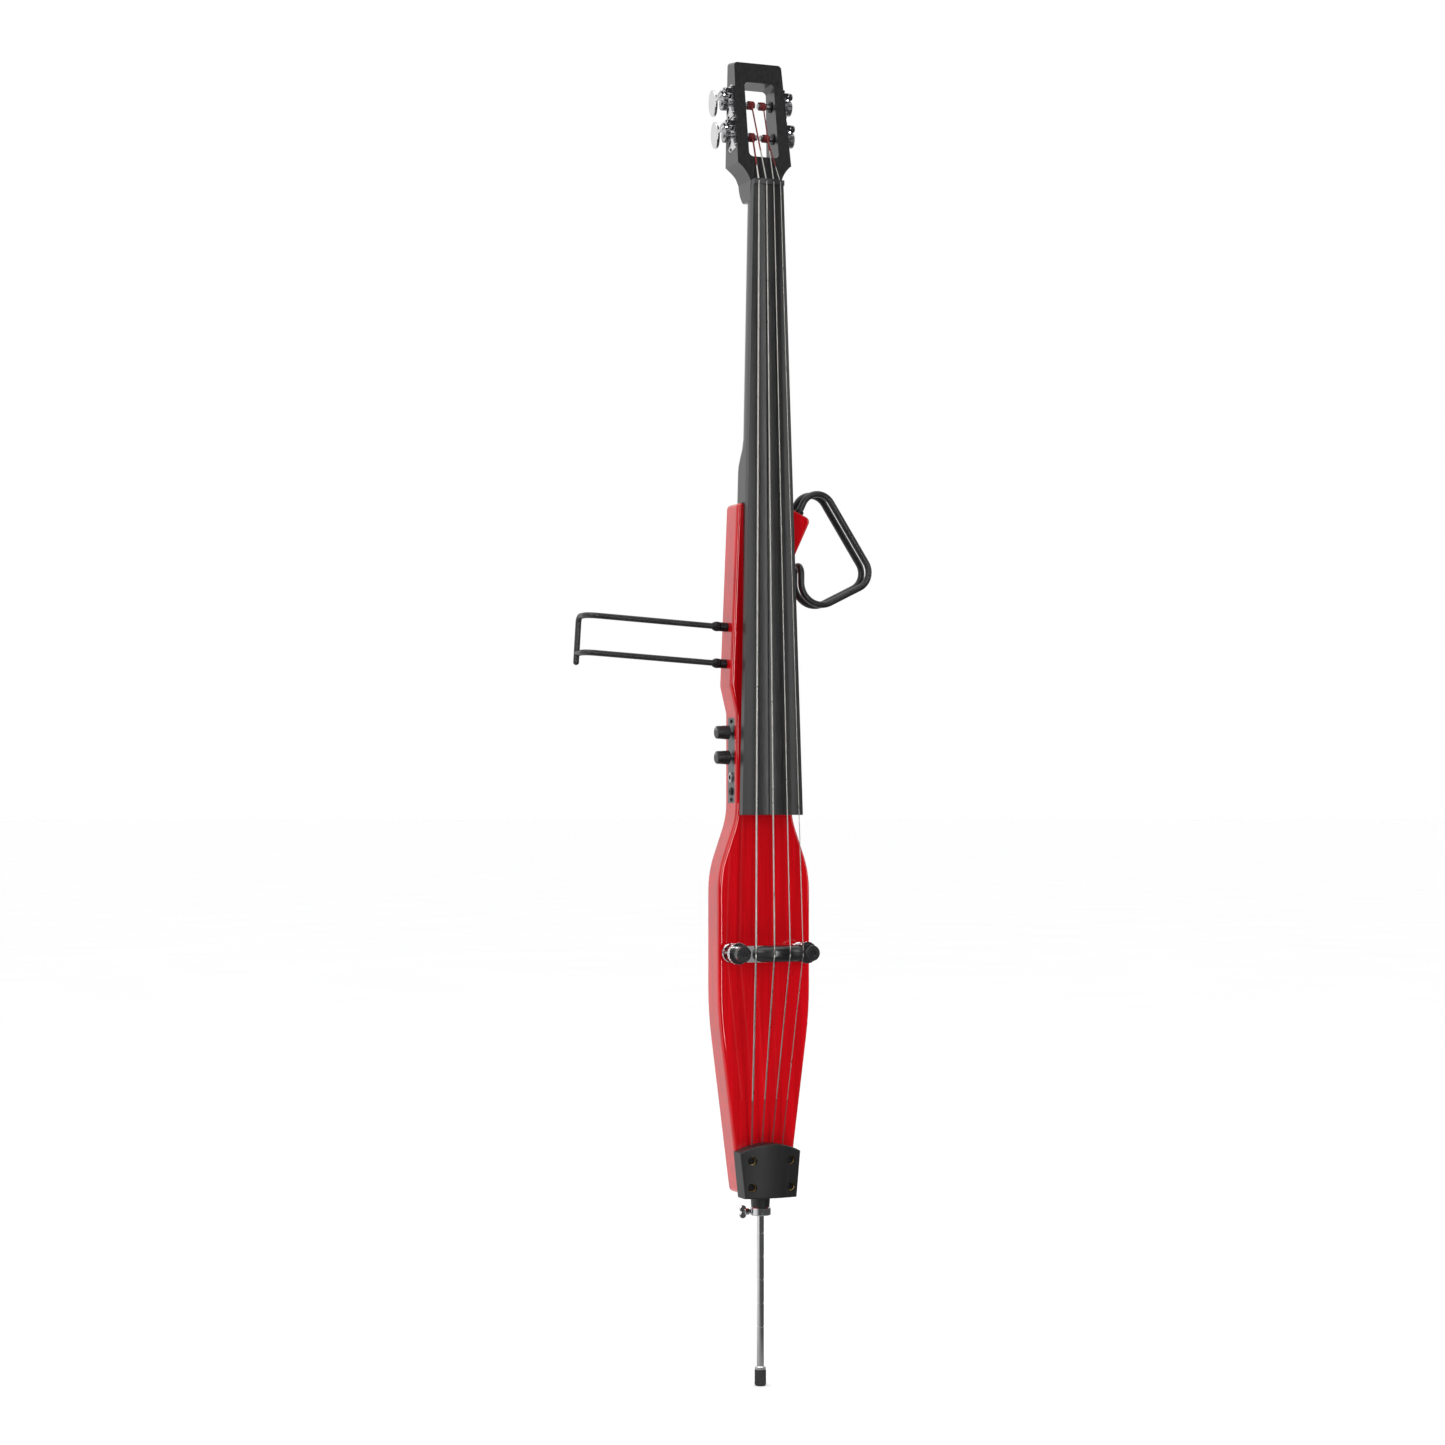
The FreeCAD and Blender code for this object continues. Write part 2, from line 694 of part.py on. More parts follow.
def winding_middle(note):
    """X of the middle of a string's windings."""
    inner = S.post_gap.number + (0.8 if note in "ad" else 2.6)
    return SIDES[note] * (inner + S.winding_width.number / 2)


def arch_depth(radius, x):
    return radius - math.sqrt(radius * radius - x * x)


def nut_point(note):
    x = string_step(note) * S.nut_spacing.number
    height = nut_z.number + S.nut_width.number / 2
    crown = board_front(nut_z).number - arch_depth(S.board_radius.number, S.board_nut_half.number)
    y = crown + arch_depth(S.board_radius.number, x) - S.nut_height.number + string_radius(note)
    return Vector(x, y, height)


def bridge_point(note):
    x = string_step(note) * S.bridge_spacing.number
    y = -S.crest_front.number + arch_depth(S.crest_radius.number, x)
    return Vector(x, y, bridge_z.number)


def tail_top(x):
    """Height of the tail block's arched top edge at a distance from the middle."""
    low = foot_z.number - S.tail_foot_drop.number + S.tail_height.number
    half = S.tail_top_half.number
    rise = S.tail_arch.number
    radius = (half * half + rise * rise) / (2 * rise)
    return low + rise - arch_depth(radius, x)


def tail_point(note):
    x = string_step(note) * S.tail_spacing.number
    return Vector(x, -S.tail_string_front.number, tail_top(x))


def ball_point(note):
    """Top of a string's ball end, in its pocket at the foot of the tail block."""
    top = tail_point(note)
    return Vector(top.x, top.y, foot_z.number - S.tail_foot_drop.number + S.ball_height.number + 1)


def post_point(note):
    """Where a string leaves the nut's line and meets its windings."""
    nut = nut_point(note)
    along = post_along(note).number
    centre = head_point(0, S.post_inset.number, along)
    reach = S.post_radius.number + S.winding_depth.number + string_radius(note) + 0.35
    gap = Vector(0, centre.y - nut.y, centre.z - nut.z)
    turn = math.acos(reach / gap.Length)
    back = math.atan2(-gap.z, -gap.y)
    angle = back + turn if math.cos(back + turn) < math.cos(back - turn) else back - turn
    return Vector(winding_middle(note), centre.y + reach * math.cos(angle),
                  centre.z + reach * math.sin(angle))


def string_route(note):
    return [ball_point(note), tail_point(note), bridge_point(note), nut_point(note), post_point(note)]


def string_space(note):
    """The string with clearance round it, for cutting its grooves and bores."""
    return tight_rod(string_route(note), string_radius(note) + S.seat_clearance.number)


def make_strings():
    for note in STRINGS:
        code_part(f"string_{note}", [tight_rod(string_route(note), string_radius(note))])
    balls = []
    for note in STRINGS:
        start = ball_point(note)
        balls.append(Part.makeCylinder(S.ball_radius.number, S.ball_height.number, start, -Z_AXIS))
    code_part("ball_ends", balls)


# ---------------------------------------------------------------- body

def body_outline():
    """Outline of the slab from the lower left corner, counterclockwise."""
    flank_in = S.flank_radius * (1 - cosine(S.flank_lean))
    flank_rise = (S.bout_half_width - S.foot_half_width - flank_in) / tangent(S.flank_lean)
    flank_z = foot_z + flank_rise
    bout_z = flank_z + S.flank_radius * sine(S.flank_lean)
    narrow_z = foot_z + S.bout_top_rise
    out_in = S.shoulder_out_radius * (1 - cosine(S.shoulder_lean))
    in_in = S.shoulder_in_radius * (1 - cosine(S.shoulder_lean))
    slope_z = narrow_z + S.shoulder_out_radius * sine(S.shoulder_lean)
    slope_drop = S.bout_half_width - S.waist_half_width - out_in - in_in
    slope_end_z = slope_z + slope_drop / tangent(S.shoulder_lean)
    waist_z = slope_end_z + S.shoulder_in_radius * sine(S.shoulder_lean)
    slope_x = S.bout_half_width - out_in
    slope_end_x = S.waist_half_width + in_in
    wing_z = top_z - S.wing_drop
    root_z = wing_z - (S.wing_width - S.wing_root_width) / tangent(S.wing_lean)
    wing_top_x = S.wing_width - S.wing_drop / tangent(S.wing_lean)
    horn_z = top_z - S.horn_drop
    return [
        (-S.foot_half_width, foot_z),
        (S.foot_half_width, foot_z),
        (S.bout_half_width - flank_in, flank_z, S.flank_radius),
        (S.bout_half_width, bout_z),
        (S.bout_half_width, narrow_z, S.shoulder_out_radius),
        (slope_x, slope_z),
        (slope_end_x, slope_end_z, -S.shoulder_in_radius),
        (S.waist_half_width, waist_z),
        (S.wing_root_width, root_z),
        (S.wing_width, wing_z),
        (wing_top_x, top_z),
        (-S.top_half_width, top_z),
        (-S.horn_half_width, horn_z),
        (-S.waist_half_width, horn_z - S.horn_depth),
        (-S.waist_half_width, waist_z, -S.shoulder_in_radius),
        (-slope_end_x, slope_end_z),
        (-slope_x, slope_z, S.shoulder_out_radius),
        (-S.bout_half_width, narrow_z),
        (-S.bout_half_width, bout_z, S.flank_radius),
        (flank_in - S.bout_half_width, flank_z),
    ]


def round_outline(body):
    """Round the outline's corners, then the whole of the front and back edges."""
    horn_z = top_z - S.horn_drop
    wing = (S.wing_width, top_z - S.wing_drop)
    small = [(-S.foot_half_width, foot_z), (S.foot_half_width, foot_z), wing,
             (-S.top_half_width, top_z)]
    wide = [(-S.horn_half_width, horn_z), (-S.waist_half_width, horn_z - S.horn_depth)]
    round_edges(body, S.corner_radius,
                lambda edge: is_along(edge, Y_AXIS) and any(passes(edge, *c) for c in small))
    round_edges(body, S.horn_radius,
                lambda edge: is_along(edge, Y_AXIS) and any(passes(edge, *c) for c in wide))
    faces = (front_y.number, back_y.number)
    round_edges(body, S.edge_radius,
                lambda edge: any(lies_at(edge, Y_AXIS, level) for level in faces))


def cut_neck_pocket(body):
    """Open the pocket for the neck's tongue in the front, and bore for its screws."""
    half = S.tongue_half + S.pocket_clearance
    sketch = new_sketch(body, "neck_pocket", "XZ_Plane", front_y)
    low = top_z - S.tongue_length - S.pocket_clearance
    add_loop(sketch, rectangle(-half, low, half, top_z + S.edge_radius))
    pocket(body, sketch, S.heel_back - front_y - TONGUE_GAP)
    for name, radius, depth in (("screw_bores", NECK_SCREW_RADIUS, 20),
                                ("screw_heads", NECK_HEAD_RADIUS + 0.1, NECK_HEAD_RECESS)):
        sketch = new_sketch(body, name, "XZ_Plane", back_y)
        for x, z in neck_screw_places():
            add_circle(sketch, x, z, radius)
        pocket(body, sketch, depth, back=True)


def neck_screw_places():
    return [(side * S.tongue_half * 0.6, top_z - S.tongue_length * share)
            for side in (-1, 1) for share in (0.25, 0.75)]


def tail_outline(gap):
    """The tail block's outline from the front, grown by a gap."""
    low = foot_z - S.tail_foot_drop - gap
    high = foot_z - S.tail_foot_drop + S.tail_height
    half = S.tail_top_half + gap
    radius = (half * half + S.tail_arch * S.tail_arch) / (S.tail_arch * 2)
    return [(-S.tail_foot_half - gap, low), (S.tail_foot_half + gap, low), (half, high, radius),
            (-half, high)]


def cut_tail_end(body):
    """Sink the tail block's seat, its screw bores, and the endpin's bores."""
    sketch = new_sketch(body, "tail_seat", "XZ_Plane", front_y)
    add_loop(sketch, tail_outline(as_size(0)))
    pocket(body, sketch, S.tail_sink)
    sketch = new_sketch(body, "tail_screw_bores", "XZ_Plane", front_y)
    for x, z in tail_screw_places():
        add_circle(sketch, x, z, TAIL_SCREW_RADIUS)
    pocket(body, sketch, S.tail_sink + TAIL_SCREW_DEPTH)
    sketch = new_sketch(body, "plug_bore", "XY_Plane", foot_z)
    add_circle(sketch, 0, 0, S.plug_radius)
    pocket(body, sketch, S.plug_length, back=True)
    sketch = new_sketch(body, "rod_bore", "XY_Plane", foot_z)
    add_circle(sketch, 0, 0, S.rod_bore_radius)
    pocket(body, sketch, S.rod_bore_rise, back=True)


def tail_screw_places():
    low = foot_z - S.tail_foot_drop
    return [(side * S.tail_screw_x, low + rise)
            for side in (-1, 1) for rise in (S.tail_screw_low, S.tail_screw_high)]


def cut_bridge_bores(body):
    sketch = new_sketch(body, "insert_bores", "XZ_Plane", front_y)
    for side in (-1, 1):
        add_circle(sketch, side * S.bridge_half_span, bridge_z, S.insert_radius)
    pocket(body, sketch, S.stud_depth)


def cut_control_cavity(body):
    """Recess the control plate in the left side of the waist, with the cavity behind it."""
    low = top_z - S.plate_low_drop
    back = S.plate_front + S.plate_depth
    sketch = new_sketch(body, "plate_recess", "YZ_Plane", -S.waist_half_width)
    add_loop(sketch, rounded(S.plate_front, low, back, low + S.plate_length, as_size(3)))
    pocket(body, sketch, S.panel_thickness, back=True)
    margin = S.cavity_margin
    sketch = new_sketch(body, "control_cavity", "YZ_Plane", -S.waist_half_width)
    add_loop(sketch, rounded(S.plate_front + margin, low + margin * 2.5, back - margin,
                             low + S.plate_length - margin * 2.5, as_size(3)))
    pocket(body, sketch, S.cavity_depth, back=True)
    sketch = new_sketch(body, "panel_screw_bores", "YZ_Plane", -S.waist_half_width)
    for y, z in panel_screw_places():
        add_circle(sketch, y, z, PANEL_SCREW_RADIUS)
    pocket(body, sketch, PANEL_SCREW_LENGTH + 1, back=True)


def panel_screw_places():
    low = top_z - S.plate_low_drop
    middle = S.plate_front + S.plate_depth / 2
    inset = S.cavity_margin * 1.4
    return [(middle, low + inset), (middle, low + S.plate_length - inset)]


def battery_middle():
    return foot_z + S.battery_rise + S.door_height / 2


def bezel_half():
    """Half width and half height of the frame round the battery door."""
    wide = S.door_width / 2 + S.door_gap + S.bezel_width
    return wide, S.door_height / 2 + S.door_gap + S.bezel_width


def cut_battery_cavity(body):
    middle = battery_middle()
    wide, high = bezel_half()
    sketch = new_sketch(body, "battery_frame_seat", "XZ_Plane", back_y)
    add_loop(sketch, rounded(-wide, middle - high, wide, middle + high, as_size(4)))
    pocket(body, sketch, S.door_thickness + 0.6, back=True)
    sketch = new_sketch(body, "battery_cavity", "XZ_Plane", back_y)
    wide = S.door_width / 2
    high = S.door_height / 2
    add_loop(sketch, rounded(-wide, middle - high, wide, middle + high, as_size(3)))
    pocket(body, sketch, S.door_thickness + S.tray_depth, back=True)


def arm_line(which):
    """Start and direction of an arm of the body rest: 0 is the upper one, 1 the lower."""
    lean = math.radians(S.arm_lean.number)
    height = (top_z - S.arm_high_drop).number - which * S.arm_spacing.number
    start = Vector(0, middle_y.number, height - math.tan(lean) * S.horn_half_width.number)
    return start, Vector(-math.cos(lean), 0, math.sin(lean))


def arm_point(which, x):
    start, direction = arm_line(which)
    return start + direction * (x / direction.x)


def hook_line():
    """Root and direction of the shoulder hook, in its middle plane."""
    lean = math.radians(S.wing_lean.number)
    x = S.hook_root_x.number
    drop = S.wing_drop.number - math.tan(lean) * (S.wing_width.number - x)
    root = Vector(x, middle_y.number, top_z.number - drop)
    return root, Vector(math.sin(lean), 0, math.cos(lean))


def socket_spaces():
    """Bores for the body rest's sleeves and for the hook's ferrules."""
    spaces = []
    for which in (0, 1):
        start = arm_point(which, -S.sleeve_reach.number)
        end = arm_point(which, S.arm_inside.number + 6)
        spaces.append(rod_between(start, end, S.sleeve_radius.number))
    root, direction = hook_line()
    radius = S.hook_radius.number + S.slide_clearance.number + S.ferrule_wall.number
    for side in (-1, 1):
        middle = root + Y_AXIS * (side * S.hook_half_gap.number)
        spaces.append(rod_between(middle + direction * 20,
                                  middle - direction * (S.hook_inside.number + 2), radius))
    return spaces


def make_wood_body():
    body = new_body("body")
    sketch = new_sketch(body, "outline", "XZ_Plane", back_y)
    add_loop(sketch, body_outline())
    pad(body, sketch, S.body_thickness)
    round_outline(body)
    cut_neck_pocket(body)
    cut_tail_end(body)
    cut_bridge_bores(body)
    cut_control_cavity(body)
    cut_battery_cavity(body)
    cut_by(body, "body", socket_spaces())


# ---------------------------------------------------------------- neck, head and fingerboard

def neck_section(body, name, height, half, depth, radius):
    """A cross-section of the neck: flat under the board, with its two back corners round."""
    sketch = new_sketch(body, name, "XY_Plane", height)
    front = board_under(height)
    back = front + depth
    add_loop(sketch, [
        (half, front), (half, back - radius, radius), (half - radius, back),
        (radius - half, back, radius), (-half, back - radius), (-half, front),
    ])
    return sketch


def add_head(body):
    """The head: its side view padded across, then trimmed to its front view."""
    lean = S.head_lean
    rise = S.head_length * 0.98
    volute_z = nut_z - 21
    sketch = new_sketch(body, "head_side", "YZ_Plane")
    neck_back = board_under(volute_z) + S.neck_depth
    add_loop(sketch, [
        (board_under(volute_z), volute_z), (board_under(nut_z), nut_z), (-S.head_front, nut_z),
        (-S.head_front + rise * tangent(lean), nut_z + rise),
        (S.head_back_top, nut_z + S.head_length), (S.head_back_low, nut_z + 28),
        (S.head_back_low - 5, nut_z + 16, as_size(-42)), (neck_back, volute_z),
    ])
    pad(body, sketch, S.head_low_half * 2, both=True)
    sketch = new_sketch(body, "head_trim", "XZ_Plane")
    half = S.head_low_half
    low = volute_z - 10
    high = nut_z + S.head_length
    throat = S.board_nut_half + 0.4
    add_loop(sketch, rectangle(-half - 10, low, half + 10, high + 10))
    add_loop(sketch, [
        (-throat, low + 5), (throat, low + 5), (throat, nut_z + 6, as_size(-48)),
        (half, nut_z + S.head_low_rise), (S.head_top_half, high + 5), (-S.head_top_half, high + 5),
        (-half, nut_z + S.head_low_rise, as_size(-48)), (-throat, nut_z + 6),
    ])
    pocket(body, sketch, as_size(200), both=True)
    top = (nut_z + S.head_length * 0.9).number
    round_edges(body, 5, lambda edge: edge.BoundBox.ZMin > top and edge.BoundBox.YLength > 15
                and edge.BoundBox.XLength < 1)


PLATE_SCREW_RADIUS = 1.4
PLATE_SCREW_LENGTH = 8


def plate_screw_places():
    """Screws of a tuner plate: across the head's depth and along the head, from the post."""
    reach = S.plate_half_depth - 3.4
    return [(side * reach, along) for side in (-1, 1)
            for along in (3.6 - S.plate_below, S.plate_above - 2.9)]


def cut_head(body):
    """Cut the string slot, the posts' bores and the seats of the tuner plates."""
    sketch = new_sketch(body, "string_slot", "XZ_Plane")
    lean_sketch(sketch, "XZ_Plane", 0, nut_z, S.head_front)
    add_loop(sketch, rounded(-S.slot_half, S.slot_start, S.slot_half, S.slot_end, S.slot_radius))
    pocket(body, sketch, as_size(160), both=True)
    sketch = new_sketch(body, "post_bores", "YZ_Plane")
    lean_sketch(sketch, "YZ_Plane", -S.head_front, nut_z)
    for along in (S.post_low, S.post_low + S.post_spacing):
        add_circle(sketch, S.post_inset, along, S.bushing_radius)
    pocket(body, sketch, S.head_low_half * 3, both=True)
    for side in (-1, 1):
        sketch = new_sketch(body, f"plate_seat_{side + 1}", "YZ_Plane")
        lean_sketch(sketch, "YZ_Plane", -S.head_front, nut_z, side * S.seat_half)
        reach = S.plate_half_depth + 0.4
        low = S.post_low - S.plate_below - 0.4
        high = S.post_low + S.post_spacing + S.plate_above + 0.4
        add_loop(sketch, rectangle(S.post_inset - reach, low, S.post_inset + reach, high))
        pocket(body, sketch, as_size(12), back=side > 0)
        sketch = new_sketch(body, f"pilot_holes_{side + 1}", "YZ_Plane")
        lean_sketch(sketch, "YZ_Plane", -S.head_front, nut_z, side * S.seat_half)
        for along in (S.post_low, S.post_low + S.post_spacing):
            for y, z in plate_screw_places():
                add_circle(sketch, S.post_inset + y, along + z, PLATE_SCREW_RADIUS)
        pocket(body, sketch, as_size(PLATE_SCREW_LENGTH), back=side < 0)


def add_neck_shaft(body):
    """The neck from the volute to the heel, and the heel down to the top of the body."""
    high = nut_z - 20
    curve_end = top_z + S.heel_rise + S.heel_curve
    curve_start = top_z + S.heel_rise
    half_high = board_half(high) - S.neck_inset
    half_low = board_half(curve_end) - S.neck_inset
    heel_half = board_half(top_z) - S.neck_inset
    heel_depth = S.heel_back - board_under(curve_start)
    base_depth = S.heel_back - board_under(top_z)
    shaft_top = neck_section(body, "neck_high", high, half_high, S.neck_depth, half_high - 3)
    shaft_low = neck_section(body, "neck_low", curve_end, half_low, S.neck_end_depth, half_low - 7)
    loft(body, [shaft_top, shaft_low])
    curve = [neck_section(body, "curve_0", curve_end, half_low, S.neck_end_depth, half_low - 7)]
    for index, share in enumerate((0.3, 0.55, 0.8), 1):
        height = curve_end - S.heel_curve * share
        swell = (1 - math.cos(math.pi * share)) / 2
        depth = S.neck_end_depth + (heel_depth - S.neck_end_depth) * swell
        half = board_half(height) - S.neck_inset
        radius = (half_low - 7) * (1 - swell) + 10 * swell
        curve.append(neck_section(body, f"curve_{index}", height, half, depth, radius))
    heel_top_half = board_half(curve_start) - S.neck_inset
    curve.append(neck_section(body, "curve_4", curve_start, heel_top_half, heel_depth, as_size(10)))
    loft(body, curve)
    heel_top = neck_section(body, "heel_top", curve_start, heel_top_half, heel_depth, as_size(10))
    heel_low = neck_section(body, "heel_low", top_z, heel_half, base_depth, as_size(10))
    loft(body, [heel_top, heel_low])


def add_tongue(body):
    """The tongue that fills the body's pocket and carries the board, seen from the side."""
    low = top_z - S.tongue_length
    back = S.heel_back - TONGUE_GAP
    sketch = new_sketch(body, "tongue_side", "YZ_Plane")
    add_loop(sketch, [(board_under(low), low), (back, low), (back, top_z),
                      (board_under(top_z), top_z)])
    pad(body, sketch, S.tongue_half * 2, both=True)


def cut_truss_channel(body):
    low = top_z - S.tongue_length + 30
    high = nut_z - 30
    sketch = new_sketch(body, "truss_channel", "YZ_Plane")
    depth = S.truss_depth
    add_loop(sketch, [(board_under(low) - 1, low), (board_under(low) + depth, low),
                      (board_under(high) + depth, high), (board_under(high) - 1, high)])
    pocket(body, sketch, S.truss_width, both=True)


def cut_neck_screw_holes(body):
    sketch = new_sketch(body, "screw_holes", "XZ_Plane", S.heel_back)
    for x, z in neck_screw_places():
        add_circle(sketch, x, z, NECK_SCREW_RADIUS)
    pocket(body, sketch, NECK_SCREW_REACH + 1, back=True)


def make_neck():
    body = new_body("neck")
    add_head(body)
    cut_head(body)
    add_neck_shaft(body)
    add_tongue(body)
    cut_truss_channel(body)
    cut_neck_screw_holes(body)
    finished(body, "neck")


def make_truss_rod():
    """A round rod with a hexagon nut at its lower end, flush in the neck's channel."""
    low = top_z - S.tongue_length + 30
    body = new_body("truss_rod")
    sketch = new_sketch(body, "rod", "XY_Plane")
    radius = S.truss_width / 2 - 0.1
    add_circle(sketch, 0, 0, radius)
    pad(body, sketch, nut_z - 30 - low - 1)
    depth = S.truss_depth - radius / math.cos(math.radians(board_angle))
    place(body, 0, board_under(low) + depth, low + 0.5, X_AXIS, -board_angle)
    finished(body, "truss_rod")


def make_fingerboard():
    """Made along its own underside, then leaned back with the neck."""
    body = new_body("fingerboard")
    sections = []
    for name, level, half in (("low_end", as_size(0), S.board_end_half),
                              ("nut_end", S.board_length, S.board_nut_half)):
        sketch = new_sketch(body, name, "XY_Plane", level)
        add_loop(sketch, [(half, 0), (half, -S.board_edge, -S.board_radius),
                          (-half, -S.board_edge), (-half, 0)])
        sections.append(sketch)
    loft(body, sections)
    place(body, 0, board_under(board_end_z), board_end_z, X_AXIS, -board_angle)
    finished(body, "fingerboard")


def head_space():
    """A block whose face is the head's front, for fitting what lies on it."""
    block = Part.makeBox(200, 100, 200, Vector(-100, 0, -100))
    lean = FreeCAD.Rotation(X_AXIS, -S.head_lean.number)
    block.Placement = FreeCAD.Placement(head_point(0, 0, 0), lean)
    return block


def make_nut():
    """The nut stands on the head's front, square on the end of the board."""
    body = new_body("nut")
    sketch = new_sketch(body, "nut_section", "XY_Plane")
    half = S.board_nut_half
    front = -S.board_edge - S.nut_height
    add_loop(sketch, [(half, 0), (half, front, -S.board_radius), (-half, front), (-half, 0)])
    pad(body, sketch, S.nut_width)
    run = S.board_length.number
    lean = math.radians(board_angle)
    place(body, 0, board_under(board_end_z).number + run * math.sin(lean),
          board_end_z.number + run * math.cos(lean), X_AXIS, -board_angle)
    cut_by(body, "nut", [head_space()] + [string_space(note) for note in STRINGS])


# ---------------------------------------------------------------- small solids made by code

def tube(start, end, outer, inner):
    return rod_between(start, end, outer).cut(rod_between(start, end, inner))


def screw(seat, inward, head_radius, head_height, radius, length):
    """A screw: its head stands on seat, its shank runs inward from there."""
    head = rod_between(seat, seat - inward * head_height, head_radius)
    head = head.makeChamfer(head_height * 0.2, [head.Edges[0]])
    socket = rod_between(seat - inward * head_height, seat - inward * head_height * 0.45,
                         head_radius * 0.45)
    shank = rod_between(seat, seat + inward * length, radius)
    return head.fuse(shank).cut(socket).removeSplitter()


def make_neck_screws():
    seat_y = back_y.number - NECK_HEAD_RECESS
    screws = []
    for x, z in neck_screw_places():
        seat = Vector(float(x), seat_y, float(z))
        screws.append(screw(seat, -Y_AXIS, NECK_HEAD_RADIUS, 4.4, NECK_SCREW_RADIUS,
                            seat_y - S.heel_back.number + NECK_SCREW_REACH))
    code_part("neck_screws", screws)


# ---------------------------------------------------------------- tuning machines

def gear_quarter():
    """A quarter of the wheel's pitch, which is also the worm's lead."""
    return S.gear_pitch_radius * (math.pi / 2) / S.gear_teeth


def gear_outer():
    return S.gear_pitch_radius + S.gear_addendum


def wheel_middle():
    """Middle of the head to the middle of a wheel and its worm."""
    return S.seat_half + S.plate_thickness + S.gear_offset


def make_tuner_plate(note):
    side = SIDES[note]
    body = new_body(f"tuner_plate_{note}")
    depth = S.plate_half_depth
    sketch = new_sketch(body, "plate", "YZ_Plane")
    add_loop(sketch, rounded(-depth, -S.plate_below, depth, S.plate_above, as_size(3)))
    pad(body, sketch, S.plate_thickness, back=side < 0)
    inner = S.worm_length / 2 + 0.5
    outer = inner + S.ear_thickness
    sketch = new_sketch(body, "ears", "YZ_Plane")
    for low, high in ((inner, outer), (-outer, -inner)):
        add_loop(sketch, rectangle(low, worm_distance - 3.6, high, worm_distance + 3.6))
    reach = S.plate_thickness + S.gear_offset
    pad(body, sketch, reach + 4, back=side < 0)
    ear_end = reach.number + 4
    round_edges(body, 3.2, lambda edge: is_along(edge, Y_AXIS)
                and abs(abs(edge.Vertexes[0].Point.x) - ear_end) < 0.1)
    sketch = new_sketch(body, "worm_bearings", "XZ_Plane")
    add_circle(sketch, side * reach, worm_distance, S.key_shaft_radius + S.bearing_clearance)
    pocket(body, sketch, depth * 2.5, both=True)
    sketch = new_sketch(body, "bores", "YZ_Plane")
    add_circle(sketch, 0, 0, S.post_radius + S.bearing_clearance)
    for y, z in plate_screw_places():
        add_circle(sketch, y, z, PLATE_SCREW_RADIUS + 0.1)
    pocket(body, sketch, S.plate_thickness * 3, both=True)
    place_on_head(body, side * S.seat_half, S.post_inset, post_along(note))
    finished(body, f"tuner_plate_{note}")


def make_tuner_post(note):
    """The string post with its wheel, whose tooth gap at the top takes the worm's thread."""
    side = SIDES[note]
    body = new_body(f"tuner_post_{note}")
    sketch = new_sketch(body, "shaft", "YZ_Plane", side * S.post_gap)
    add_circle(sketch, 0, 0, S.post_radius)
    end = wheel_middle() + S.gear_width / 2 + 2
    pad(body, sketch, end - S.post_gap, back=side < 0)
    inner = side * (wheel_middle() - S.gear_width / 2)
    sketch = new_sketch(body, "wheel", "YZ_Plane", inner)
    add_circle(sketch, 0, 0, gear_outer())
    pad(body, sketch, S.gear_width, back=side < 0)
    sketch = new_sketch(body, "tooth_gap", "YZ_Plane", inner)
    root_radius = S.gear_pitch_radius - S.gear_dedendum
    low_half = gear_quarter() * 0.6
    high_half = gear_quarter() * 1.7
    high = gear_outer() + 0.3
    add_loop(sketch, [(-low_half, root_radius), (low_half, root_radius), (high_half, high),
                      (-high_half, high)])
    gap = pocket(body, sketch, S.gear_width, back=side > 0)
    repeat_round(body, gap, S.gear_teeth)
    place_on_head(body, 0, S.post_inset, post_along(note))
    finished(body, f"tuner_post_{note}")


def make_tuner_key(note):
    """The key: worm, shaft and oval button in one, with a right-handed thread."""
    body = new_body(f"tuner_key_{note}")
    sketch = new_sketch(body, "button", "YZ_Plane")
    add_loop(sketch, oval(S.button_start + S.button_depth / 2, S.button_depth / 2,
                          S.button_height / 2, S.button_end_radius))
    pad(body, sketch, S.button_thickness, both=True)
    face = S.button_thickness.number / 2
    round_edges(body, 1.4, lambda edge: any(lies_at(edge, X_AXIS, s * face) for s in (-1, 1)))
    half = S.worm_length / 2
    ear_end = half + 0.5 + S.ear_thickness
    shaft = S.key_shaft_radius
    core = worm_distance - gear_outer() - 0.3
    sketch = new_sketch(body, "shaft", "XY_Plane")
    add_loop(sketch, [
        (0, -ear_end - 1.6), (shaft - 0.6, -ear_end - 1.6), (shaft, -ear_end - 1), (shaft, -half),
        (core, -half), (core, half), (shaft, half), (shaft, ear_end + 0.5),
        (shaft + 1.5, ear_end + 0.5), (shaft + 1.5, ear_end + 3), (shaft + 0.4, ear_end + 5),
        (shaft + 0.4, S.button_start + 3), (0, S.button_start + 3),
    ])
    revolve(body, sketch, "V_Axis")
    quarter = gear_quarter()
    start = -quarter * 9
    crest = S.worm_pitch_radius + S.worm_addendum
    sketch = new_sketch(body, "thread", "XY_Plane")
    add_loop(sketch, [
        (core - 0.5, start - quarter), (crest, start - quarter * 0.33),
        (crest, start + quarter * 0.33), (core - 0.5, start + quarter),
    ])
    thread = body.newObject("PartDesign::AdditiveHelix", "helix")
    thread.Profile = sketch
    thread.ReferenceAxis = (sketch, ["V_Axis"])
    thread.Mode = "pitch-turns-angle"
    bind(thread, "Pitch", quarter * 4)
    thread.Turns = 4.5
    doc.recompute()
    place_on_head(body, SIDES[note] * wheel_middle(), S.post_inset, post_along(note) + worm_distance)
    finished(body, f"tuner_key_{note}")


